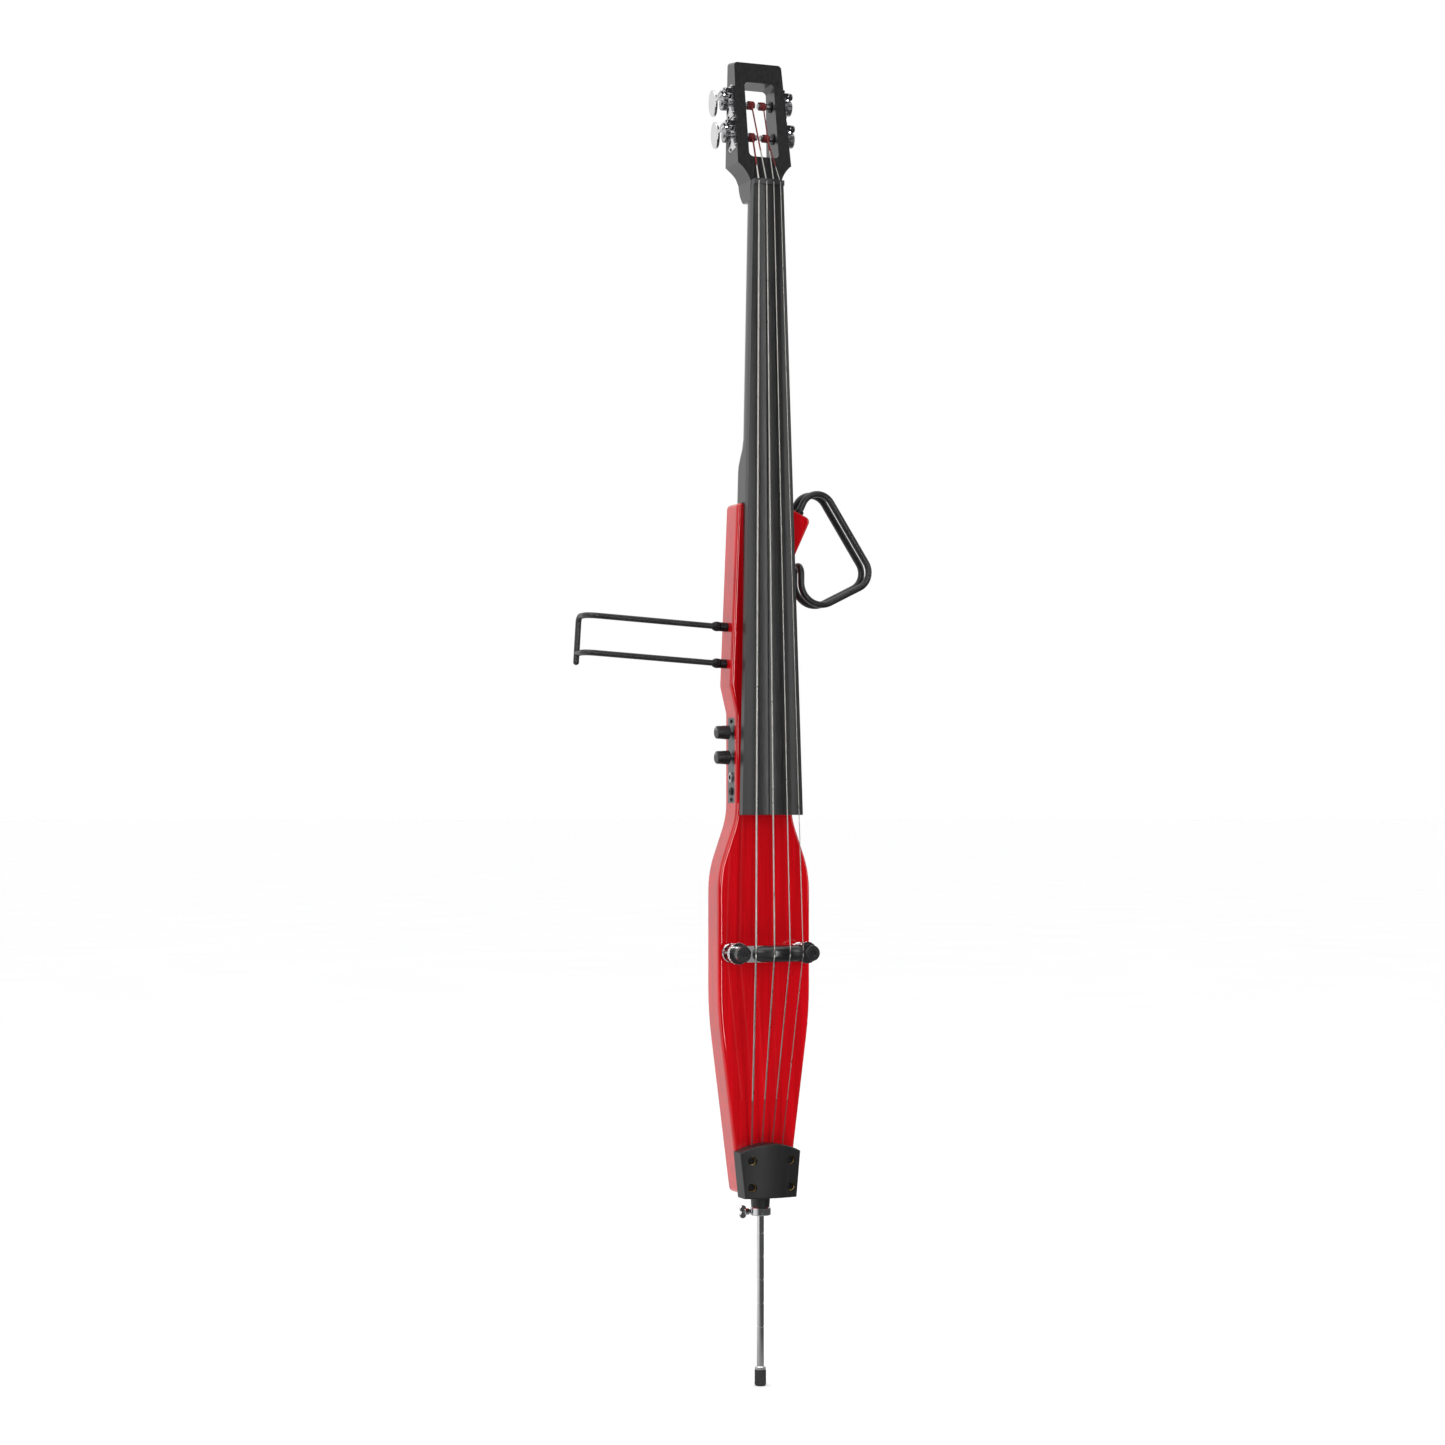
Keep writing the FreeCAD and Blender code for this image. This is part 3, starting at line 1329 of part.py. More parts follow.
def make_windings(note):
    """The turns of string on a post, as one ring."""
    ring = new_body(f"winding_{note}")
    middle = winding_middle(note)
    sketch = new_sketch(ring, "ring", "YZ_Plane", middle - S.winding_width / 2)
    add_circle(sketch, 0, 0, S.post_radius + S.winding_depth)
    add_circle(sketch, 0, 0, S.post_radius)
    pad(ring, sketch, S.winding_width)
    place_on_head(ring, 0, S.post_inset, post_along(note))
    finished(ring, f"winding_{note}")


def make_bushings_and_screws():
    bushings = []
    screws = []
    bore = (S.post_radius + S.bearing_clearance).number
    for note in STRINGS:
        side = SIDES[note]
        along = post_along(note).number
        depth = S.post_inset.number
        inner = head_point(side * S.slot_half.number, depth, along)
        outer = head_point(side * S.seat_half.number, depth, along)
        lip = head_point(side * (S.slot_half.number - 1.4), depth, along)
        sleeve = rod_between(inner, outer, S.bushing_radius.number)
        flange = rod_between(lip, inner, S.bushing_radius.number + 1.5)
        bushings.append(sleeve.fuse(flange).cut(rod_between(lip, outer, bore)))
        for y, z in plate_screw_places():
            face = (S.seat_half + S.plate_thickness).number
            seat = head_point(side * face, depth + float(y), along + float(z))
            length = S.plate_thickness.number + PLATE_SCREW_LENGTH
            screws.append(screw(seat, -X_AXIS * side, 2.4, 1.5, PLATE_SCREW_RADIUS, length))
    code_part("tuner_bushings", bushings)
    code_part("tuner_screws", screws)


# ---------------------------------------------------------------- bridge

def crest_line():
    """Y of the crest's ends and of the bosses' fronts."""
    drop = root(S.crest_radius * S.crest_radius - S.crest_half * S.crest_half)
    return -S.crest_front + S.crest_radius - drop, -(S.boss_low + S.boss_height)


def make_bridge_bar():
    body = new_body("bridge_bar")
    crest_end, boss_top = crest_line()
    web = S.bridge_half_span - S.stud_radius
    sketch = new_sketch(body, "web", "XY_Plane")
    add_loop(sketch, [
        (-web, -S.bar_low), (-web, boss_top + 1), (-S.crest_half, crest_end, S.crest_radius),
        (S.crest_half, crest_end), (web, boss_top + 1), (web, -S.bar_low),
    ])
    pad(body, sketch, S.bar_width, both=True)
    crown = boss_top.number - 5
    round_edges(body, S.bar_width * 0.4, lambda edge: edge.BoundBox.YMin < crown)
    low = -S.bar_low.number
    round_edges(body, 3, lambda edge: lies_at(edge, Y_AXIS, low) and is_along(edge, X_AXIS))
    sketch = new_sketch(body, "pickup_recesses", "XZ_Plane", -S.bar_low)
    for side in (-1, 1):
        add_circle(sketch, side * S.bridge_spacing, 0, S.pickup_radius + 0.1)
    pocket(body, sketch, S.pickup_height, back=True)
    place(body, 0, 0, bridge_z)
    bosses = doc.addObject("Part::Feature", "bosses")
    bosses.Shape = Part.makeCompound([boss_solid(side) for side in (-1, 1)])
    joined = doc.addObject("Part::Fuse", "bar_and_bosses")
    joined.Base = body
    joined.Tool = bosses
    bores = [stud_line(side, S.crest_front.number, S.stud_radius.number + S.stud_clearance.number)
             for side in (-1, 1)]
    cut_by(joined, "bridge_bar", bores + [string_space(note) for note in STRINGS])


def stud_line(side, reach, radius):
    """A cylinder on a stud's axis, from the endpin's plane forward."""
    start = Vector(side * S.bridge_half_span.number, 0, bridge_z.number)
    return rod_between(start, start - Y_AXIS * reach, radius)


def boss_solid(side):
    """The round boss at an end of the bar, with both rims rounded."""
    foot = Vector(side * S.bridge_half_span.number, -S.boss_low.number, bridge_z.number)
    boss = rod_between(foot, foot - Y_AXIS * S.boss_height.number, S.boss_radius.number)
    return boss.makeFillet(1.2, [edge for edge in boss.Edges if isinstance(edge.Curve, Part.Circle)])


def make_bridge_hardware():
    studs = []
    bases = []
    pickups = []
    front = front_y.number
    height = bridge_z.number
    tip = crest_line()[1].number + 1.2
    for side in (-1, 1):
        x = side * S.bridge_half_span.number
        radius = S.stud_radius.number
        stud = rod_between(Vector(x, front + S.stud_depth.number - 4, height),
                           Vector(x, tip, height), radius)
        slot = Part.makeBox(2 * radius + 2, 1.6, 1.2, Vector(x - radius - 1, tip, height - 0.6))
        studs.append(stud.cut(slot))
        insert = rod_between(Vector(x, front, height), Vector(x, front + S.stud_depth.number, height),
                             S.insert_radius.number)
        flange = rod_between(Vector(x, front, height),
                             Vector(x, front - S.base_thickness.number, height),
                             S.base_radius.number)
        flange = flange.makeChamfer(1, [flange.Edges[0]])
        bore = rod_between(Vector(x, front - S.base_thickness.number, height),
                           Vector(x, front + S.stud_depth.number - 4, height), radius)
        bases.append(flange.fuse(insert).removeSplitter().cut(bore))
        x = side * S.bridge_spacing.number
        low = -S.bar_low.number
        pickups.append(rod_between(Vector(x, low, height), Vector(x, low - S.pickup_height.number, height),
                                   S.pickup_radius.number))
    code_part("bridge_studs", studs)
    code_part("bridge_bases", bases)
    code_part("piezo_pickups", pickups)


def make_thumbwheel(name, side):
    body = new_body(name)
    sketch = new_sketch(body, "disc", "XZ_Plane")
    add_circle(sketch, 0, 0, S.thumbwheel_radius)
    add_circle(sketch, 0, 0, S.stud_radius + S.bearing_clearance)
    pad(body, sketch, S.thumbwheel_width)
    width = S.thumbwheel_width.number
    round_edges(body, 0.8, lambda edge: edge.Length > 60
                and any(lies_at(edge, Y_AXIS, level) for level in (0, -width)))
    sketch = new_sketch(body, "grip", "XZ_Plane")
    add_circle(sketch, S.thumbwheel_radius + 0.7, 0, 1.5)
    notch = pocket(body, sketch, S.thumbwheel_width, back=True)
    repeat_round(body, notch, 24)
    y = -S.boss_low + S.wheel_gap + S.thumbwheel_width
    place(body, side * S.bridge_half_span, y, bridge_z)
    finished(body, name)


# ---------------------------------------------------------------- tail block

def make_tail_block():
    body = new_body("tail_block")
    low = foot_z - S.tail_foot_drop
    half = S.tail_top_half
    bulge = S.tail_bulge
    bulge_radius = (half * half + bulge * bulge) / (bulge * 2)
    back = front_y + S.tail_sink
    sketch = new_sketch(body, "section", "XY_Plane", low)
    add_loop(sketch, [(-half, back), (-half, -S.tail_side_front, bulge_radius),
                      (half, -S.tail_side_front), (half, back)])
    pad(body, sketch, S.tail_height + S.tail_arch)
    sketch = new_sketch(body, "front_view", "XZ_Plane")
    add_loop(sketch, rectangle(-half - 10, low - 10, half + 10, low + S.tail_height + 30))
    add_loop(sketch, tail_outline(as_size(0)))
    pocket(body, sketch, as_size(150), both=True)
    edge_y = -S.tail_side_front.number + 0.5
    round_edges(body, 2.2, lambda edge: edge.BoundBox.YMax < edge_y)
    recess_start = -(S.tail_side_front + bulge + 1)
    sketch = new_sketch(body, "screw_recesses", "XZ_Plane", recess_start)
    for x, z in tail_screw_places():
        add_circle(sketch, x, z, S.tail_recess_radius)
    pocket(body, sketch, -S.tail_recess_floor - recess_start)
    sketch = new_sketch(body, "screw_bores", "XZ_Plane", recess_start)
    for x, z in tail_screw_places():
        add_circle(sketch, x, z, TAIL_SCREW_RADIUS)
    pocket(body, sketch, back - recess_start + 1)
    sketch = new_sketch(body, "ball_pockets", "XY_Plane", low)
    for note in STRINGS:
        add_circle(sketch, string_step(note) * S.tail_spacing, -S.tail_string_front,
                   S.ball_radius + 0.2)
    pocket(body, sketch, S.ball_height + 1.2, back=True)
    cut_by(body, "tail_block", [string_space(note) for note in STRINGS])


def make_tail_screws():
    seat_y = -S.tail_recess_floor.number
    screws = []
    for x, z in tail_screw_places():
        seat = Vector(float(x), seat_y, float(z))
        length = -seat_y + front_y.number + S.tail_sink.number + TAIL_SCREW_DEPTH - 1
        screws.append(screw(seat, Y_AXIS, 4.4, 4.5, TAIL_SCREW_RADIUS, length))
    code_part("tail_block_screws", screws)


# ---------------------------------------------------------------- endpin

def turned(name, corners):
    """A sub-part turned about the endpin's axis from its half section: radius, height."""
    body = new_body(name)
    sketch = new_sketch(body, "half_section", "XZ_Plane")
    add_loop(sketch, corners)
    revolve(body, sketch, "V_Axis")
    return body


def make_endpin_socket():
    low = S.collar_low + S.collar_height
    high = low + S.socket_height
    end = foot_z + S.plug_length
    finished(turned("endpin_socket", [
        (rod_bore, low), (S.socket_low_radius, low), (S.socket_top_radius, high - 1),
        (S.socket_top_radius - 1, high), (S.plug_radius, high), (S.plug_radius, end),
        (rod_bore, end),
    ]), "endpin_socket")


def make_endpin_collar():
    low = S.collar_low
    high = low + S.collar_height
    radius = S.collar_radius
    body = turned("endpin_collar", [
        (rod_bore, low), (radius - 1, low), (radius, low + 1), (radius, high - 1),
        (radius - 1, high), (rod_bore, high),
    ])
    sketch = new_sketch(body, "screw_thread", "YZ_Plane", -radius - 1)
    add_circle(sketch, 0, low + S.collar_height / 2, S.screw_radius + S.bearing_clearance)
    pocket(body, sketch, radius + 1, back=True)
    finished(body, "endpin_collar")


def make_wing_screw():
    """The screw that clamps the rod; its axis is along X and its two round wings are to the left."""
    height = (S.collar_low + S.collar_height / 2).number

    def on_axis(x):
        return Vector(x, 0, height)

    tip = -rod_bore.number - 0.15
    hub = -S.collar_radius.number - 2.5
    lobe_radius = S.wing_span.number * 0.27
    thread = rod_between(on_axis(tip), on_axis(hub - 2), S.screw_radius.number)
    grip = rod_between(on_axis(hub), on_axis(hub - 7), S.screw_radius.number + 1.6)
    grip = grip.makeChamfer(0.6, [edge for edge in grip.Edges if isinstance(edge.Curve, Part.Circle)])
    lobes = []
    for side in (-1, 1):
        middle = on_axis(hub - 9) + Z_AXIS * (side * (S.wing_span.number / 2 - lobe_radius))
        lobe = rod_between(middle - Y_AXIS * 1.5, middle + Y_AXIS * 1.5, lobe_radius)
        lobes.append(lobe.makeFillet(1, [e for e in lobe.Edges if isinstance(e.Curve, Part.Circle)]))
    code_part("endpin_wing_screw", [thread.fuse([grip] + lobes).removeSplitter()])


def make_endpin_rod():
    body = new_body("endpin_rod")
    sketch = new_sketch(body, "rod", "XY_Plane", S.rod_start)
    add_circle(sketch, 0, 0, S.rod_radius)
    pad(body, sketch, S.rod_length)
    end = (S.rod_start + S.rod_length).number
    round_edges(body, 1, lambda edge: lies_at(edge, Z_AXIS, end))
    half = S.groove_width / 2
    sketch = new_sketch(body, "groove", "XZ_Plane")
    add_loop(sketch, rectangle(S.rod_radius - S.groove_depth, S.groove_first - half,
                               S.rod_radius + 1, S.groove_first + half))
    groove = body.newObject("PartDesign::Groove", "cut_groove")
    groove.Profile = sketch
    groove.ReferenceAxis = (sketch, ["V_Axis"])
    groove.Angle = 360
    doc.recompute()
    row = body.newObject("PartDesign::LinearPattern", "grooves")
    row.Originals = [groove]
    row.Direction = (sketch, ["V_Axis"])
    row.Occurrences = int(S.groove_count.number)
    bind(row, "Occurrences", S.groove_count)
    bind(row, "Length", S.groove_spacing * (S.groove_count - 1))
    body.Tip = row
    finished(body, "endpin_rod")


def make_endpin_foot():
    """The rubber tip, rounded underneath, and the ferrule above it."""
    radius = S.tip_radius
    finished(turned("endpin_tip", [
        (0, 0), (radius - 3, 0, as_size(3)), (radius, 3), (radius, S.tip_height - 1),
        (radius - 1, S.tip_height), (S.rod_radius, S.tip_height), (S.rod_radius, S.rod_start),
        (0, S.rod_start),
    ]), "endpin_tip")
    low = S.tip_height
    high = low + S.ferrule_height
    finished(turned("endpin_ferrule", [
        (S.rod_radius, low), (radius - 0.3, low), (radius - 0.3, high - 1.2),
        (radius - 1.5, high), (S.rod_radius, high),
    ]), "endpin_ferrule")


# ---------------------------------------------------------------- body rest and shoulder hook

def make_rest_frame():
    """Two arms joined by a crossbar; the upper arm's rod turns down to make the crossbar."""
    _start, outward = arm_line(0)
    down = Y_AXIS.cross(outward) * -1
    if down.z > 0:
        down = down * -1
    reach = -S.arm_reach.number
    back = Y_AXIS * S.arm_back.number
    high = arm_point(0, reach)
    low = high + down * (arm_point(1, reach) - high).dot(down)
    bar_end = high + back + down * ((low - high).Length + S.crossbar_below.number)
    radius = S.arm_radius.number
    bend = S.arm_bend.number
    upper = bent_rod([arm_point(0, S.arm_inside.number), high, high + back, bar_end],
                     [bend, bend * 0.6], radius)
    lower = bent_rod([arm_point(1, S.arm_inside.number), low, low + back], [bend], radius)
    cap = Part.makeSphere(radius, bar_end)
    code_part("rest_frame", [upper.fuse([lower, cap]).removeSplitter()])


def make_rod_sockets():
    """Sleeves of the body rest's arms and ferrules of the hook's rods."""
    sockets = []
    bore = (S.arm_radius + S.slide_clearance).number
    for which in (0, 1):
        start = arm_point(which, -S.sleeve_reach.number)
        end = arm_point(which, S.arm_inside.number + 6)
        sockets.append(tube(start, end, S.sleeve_radius.number, bore))
    root_point, direction = hook_line()
    bore = (S.hook_radius + S.slide_clearance).number
    outer = bore + S.ferrule_wall.number
    for side in (-1, 1):
        middle = root_point + Y_AXIS * (side * S.hook_half_gap.number)
        sockets.append(tube(middle + direction * 4, middle - direction * (S.hook_inside.number + 2),
                            outer, bore))
    code_part("rod_sockets", sockets)


def make_lock_nut(name, which):
    """A turned lock nut with a gripped rim, on an arm just outside its sleeve."""
    body = new_body(name)
    bore = S.arm_radius + S.slide_clearance
    length = S.locknut_length
    rim = S.locknut_radius
    sketch = new_sketch(body, "half_section", "XZ_Plane")
    add_loop(sketch, [
        (bore, 0), (rim - 1, 0), (rim, 1), (rim, length * 0.6), (bore + 0.8, length),
        (bore, length),
    ])
    revolve(body, sketch, "V_Axis")
    sketch = new_sketch(body, "grip", "XY_Plane")
    add_circle(sketch, rim + 0.5, 0, 1)
    notch = pocket(body, sketch, length, back=True)
    repeat_round(body, notch, 12)
    seat = arm_point(which, -S.sleeve_reach.number - 0.4)
    place(body, seat.x, seat.y, seat.z, Y_AXIS, S.arm_lean - 90)
    finished(body, name)


def make_shoulder_hook():
    """Two parallel rods bent alike, joined by a U-bend at the hook's end."""
    root_point, direction = hook_line()
    middle = middle_y.number
    top = top_z.number
    plane_points = [
        root_point - direction * S.hook_inside.number,
        root_point + direction * S.hook_rise.number,
        Vector(S.hook_outer_x.number, middle, top - S.hook_outer_drop.number),
        Vector(S.hook_end_x.number, middle, top - S.hook_low_drop.number),
        Vector(S.hook_end_x.number, middle, top - S.hook_end_drop.number),
    ]
    gap = S.hook_half_gap.number
    bends = [S.hook_top_radius.number, S.hook_outer_radius.number, S.hook_low_radius.number, gap]
    back_rod = [point + Y_AXIS * gap for point in plane_points]
    front_rod = [point - Y_AXIS * gap for point in reversed(plane_points)]
    hook = bent_rod(back_rod + front_rod, bends + bends[::-1], S.hook_radius.number)
    code_part("shoulder_hook", [hook])


# ---------------------------------------------------------------- controls and electronics

def control_heights():
    """Heights of the upper and lower knob, the output jack and the headphone jack."""
    knob = top_z - S.knob_high_drop
    jack = top_z - S.jack_high_drop
    return [knob, knob - S.knob_spacing, jack, jack - S.jack_spacing]


def plate_middle():
    return S.plate_front + S.plate_depth / 2


def panel_point(height, out):
    """A point on a control's axis, out from the face of the control plate."""
    return Vector(-S.waist_half_width.number - out, plate_middle().number, float(height))


JACK_BARREL = 5.5
PHONES_BARREL = 3.8
POT_BUSH = 3.5


def make_control_plate():
    body = new_body("control_plate")
    gap = 0.15
    low = top_z - S.plate_low_drop + gap
    high = low + S.plate_length - 2 * gap
    sketch = new_sketch(body, "plate", "YZ_Plane", -S.waist_half_width)
    add_loop(sketch, rounded(S.plate_front + gap, low, S.plate_front + S.plate_depth - gap, high,
                             as_size(3)))
    pad(body, sketch, S.panel_thickness)
    sketch = new_sketch(body, "bores", "YZ_Plane", -S.waist_half_width)
    radii = (POT_BUSH, POT_BUSH, JACK_BARREL, PHONES_BARREL)
    for height, radius in zip(control_heights(), radii):
        add_circle(sketch, plate_middle(), height, radius)
    for y, z in panel_screw_places():
        add_circle(sketch, y, z, PANEL_SCREW_RADIUS + 0.1)
    pocket(body, sketch, S.panel_thickness, back=True)
    finished(body, "control_plate")
    screws = []
    for _y, z in panel_screw_places():
        screws.append(screw(panel_point(z, 0), X_AXIS, 2.6, 1.3, PANEL_SCREW_RADIUS,
                            PANEL_SCREW_LENGTH))
    code_part("control_plate_screws", screws)


def make_knob(name, height):
    """A ribbed knob with a blind bore for the shaft; its axis is its own X axis."""
    body = new_body(name)
    length = S.knob_length
    radius = S.knob_radius
    sketch = new_sketch(body, "half_section", "XY_Plane")
    bore = S.shaft_radius + S.bearing_clearance
    depth = length * 0.7
    add_loop(sketch, [
        (0, bore), (-depth, bore), (-depth, 0), (-length, 0), (-length, radius - 2),
        (-length + 1.2, radius - 0.8), (-1.5, radius), (0, radius),
    ])
    revolve(body, sketch, "H_Axis")
    sketch = new_sketch(body, "ribs", "YZ_Plane", -length)
    add_circle(sketch, 0, radius + 0.45, 1)
    notch = pocket(body, sketch, length - 2.2, back=True)
    repeat_round(body, notch, 20)
    place(body, -S.waist_half_width - S.knob_gap, plate_middle(), height)
    finished(body, name)


def make_panel_parts():
    knob_high, knob_low, jack, phones = control_heights()
    thick = S.panel_thickness.number
    pots = []
    for height in (knob_high, knob_low):
        can = rod_between(panel_point(height, -thick), panel_point(height, -thick - 8), 7.8)
        bush = rod_between(panel_point(height, -thick), panel_point(height, 2.2), POT_BUSH)
        nut = rod_between(panel_point(height, 0), panel_point(height, 1.6), 5.5)
        reach = S.knob_gap.number + S.knob_length.number * 0.68
        shaft = rod_between(panel_point(height, 0), panel_point(height, reach), S.shaft_radius.number)
        pots.append(can.fuse([bush, nut, shaft]).removeSplitter())
    code_part("potentiometers", pots)
    make_jack("output_jack", jack, JACK_BARREL, S.jack_bore_radius.number, 26)
    make_jack("headphone_jack", phones, PHONES_BARREL, S.phones_bore_radius.number, 16)


def make_jack(name, height, barrel_radius, bore_radius, length):
    thick = S.panel_thickness.number
    barrel = rod_between(panel_point(height, 2.4), panel_point(height, -length), barrel_radius)
    collar = rod_between(panel_point(height, -thick), panel_point(height, -length + 2),
                         barrel_radius + 1.2)
    nut = rod_between(panel_point(height, 0), panel_point(height, 1.8), barrel_radius + 1.6)
    bore = rod_between(panel_point(height, 2.4), panel_point(height, -length + 1.5), bore_radius)
    code_part(name, [barrel.fuse([collar, nut]).removeSplitter().cut(bore)])


def make_preamp_board():
    """A small board on two posts at the back of the control cavity."""
    floor = -S.waist_half_width.number + S.cavity_depth.number
    low = (top_z - S.plate_low_drop + S.cavity_margin * 3).number
    high = (top_z - S.plate_low_drop + S.plate_length - S.cavity_margin * 3).number
    front = (S.plate_front + S.cavity_margin).number + 1
    width = (S.plate_depth - S.cavity_margin * 2).number - 2
    board = Part.makeBox(1.6, width, high - low, Vector(floor - 4.6, front, low))
    pieces = []
    for share in (0.08, 0.92):
        height = low + (high - low) * share
        pieces.append(rod_between(Vector(floor - 4, front + width / 2, height),
                                  Vector(floor, front + width / 2, height), 2))
    for share, depth in ((0.2, 2.5), (0.4, 5), (0.62, 3), (0.8, 2)):
        height = low + (high - low) * share
        pieces.append(Part.makeBox(depth, width * 0.55, 8, Vector(floor - 4.6 - depth,
                                                                front + width * 0.2, height)))
    code_part("preamp_board", [board.fuse(pieces).removeSplitter()])


def make_battery_box():
    """A frame flush with the back of the body, with an open tray behind it."""
    body = new_body("battery_box")
    middle = battery_middle()
    wide, high = bezel_half()
    frame_thickness = S.door_thickness + 0.6
    sketch = new_sketch(body, "frame", "XZ_Plane", back_y)
    add_loop(sketch, rounded(-wide, middle - high, wide, middle + high, as_size(4)))
    pad(body, sketch, frame_thickness)
    wide = S.door_width / 2
    high = S.door_height / 2
    sketch = new_sketch(body, "tray", "XZ_Plane", back_y - frame_thickness)
    add_loop(sketch, rounded(-wide, middle - high, wide, middle + high, as_size(3)))
    pad(body, sketch, S.tray_depth - 0.6)
    sketch = new_sketch(body, "tray_inside", "XZ_Plane", back_y)
    wall = S.tray_wall
    add_loop(sketch, rounded(wall - wide, middle - high + wall, wide - wall, middle + high - wall,
                             as_size(2)))
    pocket(body, sketch, S.door_thickness + S.tray_depth - wall, back=True)
    gap = S.door_gap
    sketch = new_sketch(body, "door_seat", "XZ_Plane", back_y)
    add_loop(sketch, rectangle(-wide - gap, middle - high - gap, wide + gap, middle + high + gap))
    pocket(body, sketch, S.door_thickness + 0.2, back=True)
    sketch = new_sketch(body, "pin_bores", "YZ_Plane")
    add_circle(sketch, hinge_y(), hinge_z(), S.hinge_pin_radius + S.bearing_clearance)
    pocket(body, sketch, (wide + gap + 2) * 2, both=True)
    finished(body, "battery_box")


def hinge_y():
    return back_y - S.door_thickness / 2


def hinge_z():
    return battery_middle() - S.door_height / 2 + S.door_thickness / 2


def make_battery_door():
    """The door: a plate with a round lower edge and a pin at each end of it."""
    body = new_body("battery_door")
    half = S.door_thickness / 2
    high = battery_middle() + S.door_height / 2
    sketch = new_sketch(body, "side_view", "YZ_Plane")
    add_loop(sketch, [
        (hinge_y() + half, hinge_z()), (hinge_y() + half, high), (hinge_y() - half, high),
        (hinge_y() - half, hinge_z(), half), (hinge_y(), hinge_z() - half, half),
    ])
    pad(body, sketch, S.door_width, both=True)
    sketch = new_sketch(body, "pins", "YZ_Plane")
    add_circle(sketch, hinge_y(), hinge_z(), S.hinge_pin_radius)
    pad(body, sketch, S.door_width + (S.door_gap + 1.6) * 2, both=True)
    sketch = new_sketch(body, "finger_notch", "XZ_Plane", back_y)
    add_loop(sketch, rounded(as_size(-6), high - 5, as_size(6), high - 2.6, as_size(1)))
    pocket(body, sketch, as_size(0.9), back=True)
    finished(body, "battery_door")


def make_battery():
    """A 9 V block lying on the tray's floor, with its two round terminals at the top."""
    width, thickness, height = 26.5, 17.5, 46.4
    floor = (back_y - S.door_thickness - S.tray_depth + S.tray_wall).number
    low = battery_middle().number - height / 2 - 2.8
    battery = Part.makeBox(width, thickness, height, Vector(-width / 2, floor, low))
    for x in (-width / 4, width / 4):
        base = Vector(x, floor + thickness / 2, low + height - 0.4)
        battery = battery.fuse(rod_between(base, base + Z_AXIS * 3, 3.4))
    code_part("battery", [battery.removeSplitter()])


# ---------------------------------------------------------------- checks and files

def check_and_write():
    doc.recompute()
    for obj in doc.Objects:
        if "Invalid" in obj.State or "Error" in obj.State:
            raise RuntimeError(f"{obj.Label} is {obj.State}")
    for obj in FINISHED:
        if obj.Shape.isNull() or not obj.Shape.isValid():
            raise RuntimeError(f"{obj.Label} has no valid shape")
    os.makedirs("parts", exist_ok=True)
    for obj in FINISHED:
        obj.Shape.exportStep(f"parts/{obj.Label}.step")


make_wood_body()
make_neck()
make_truss_rod()
make_neck_screws()
make_fingerboard()
make_nut()
make_strings()
for string_name in STRINGS:
    make_tuner_plate(string_name)
    make_tuner_post(string_name)
    make_tuner_key(string_name)
    make_windings(string_name)
make_bushings_and_screws()
make_bridge_bar()
make_bridge_hardware()
make_thumbwheel("thumbwheel_left", -1)
make_thumbwheel("thumbwheel_right", 1)
make_tail_block()
make_tail_screws()
make_endpin_socket()
make_endpin_collar()
make_wing_screw()
make_endpin_rod()
make_endpin_foot()
make_rest_frame()
make_rod_sockets()
make_lock_nut("lock_nut_upper", 0)
make_lock_nut("lock_nut_lower", 1)
make_shoulder_hook()
make_control_plate()
make_knob("knob_volume", control_heights()[0])
make_knob("knob_tone", control_heights()[1])
make_panel_parts()
make_preamp_board()
make_battery_box()
make_battery_door()
make_battery()
check_and_write()
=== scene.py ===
import json
import math

import bmesh
import bpy
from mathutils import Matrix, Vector


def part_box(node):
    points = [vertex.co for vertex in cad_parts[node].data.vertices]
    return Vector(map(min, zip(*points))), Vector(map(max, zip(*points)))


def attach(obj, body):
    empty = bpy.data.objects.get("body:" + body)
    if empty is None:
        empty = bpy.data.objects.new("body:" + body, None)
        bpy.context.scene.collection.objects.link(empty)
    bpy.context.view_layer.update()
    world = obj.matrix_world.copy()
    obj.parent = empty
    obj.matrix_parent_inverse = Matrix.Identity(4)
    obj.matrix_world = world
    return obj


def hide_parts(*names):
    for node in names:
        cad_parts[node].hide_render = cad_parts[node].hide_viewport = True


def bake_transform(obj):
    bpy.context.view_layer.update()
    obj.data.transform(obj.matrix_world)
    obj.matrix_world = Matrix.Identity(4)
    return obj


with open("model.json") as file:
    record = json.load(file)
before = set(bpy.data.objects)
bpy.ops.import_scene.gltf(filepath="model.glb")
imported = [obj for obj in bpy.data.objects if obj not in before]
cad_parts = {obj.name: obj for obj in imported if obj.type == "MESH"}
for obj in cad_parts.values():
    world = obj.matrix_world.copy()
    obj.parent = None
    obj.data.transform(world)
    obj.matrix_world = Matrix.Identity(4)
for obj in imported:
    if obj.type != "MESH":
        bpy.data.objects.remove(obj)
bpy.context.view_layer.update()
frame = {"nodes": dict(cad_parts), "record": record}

# An electric upright bass. The frame's units are metres; sizes below are in millimetres.
MM = 0.001
Y_AXIS = Vector((0, 1, 0))

NOTES = ("e", "a", "d", "g")
SIDE = {"e": -1, "a": -1, "d": 1, "g": 1}
STEP = {"e": -1.5, "a": -0.5, "d": 0.5, "g": 1.5}
STRING_WIDTH = {"e": 2.7, "a": 2.1, "d": 1.6, "g": 1.2}

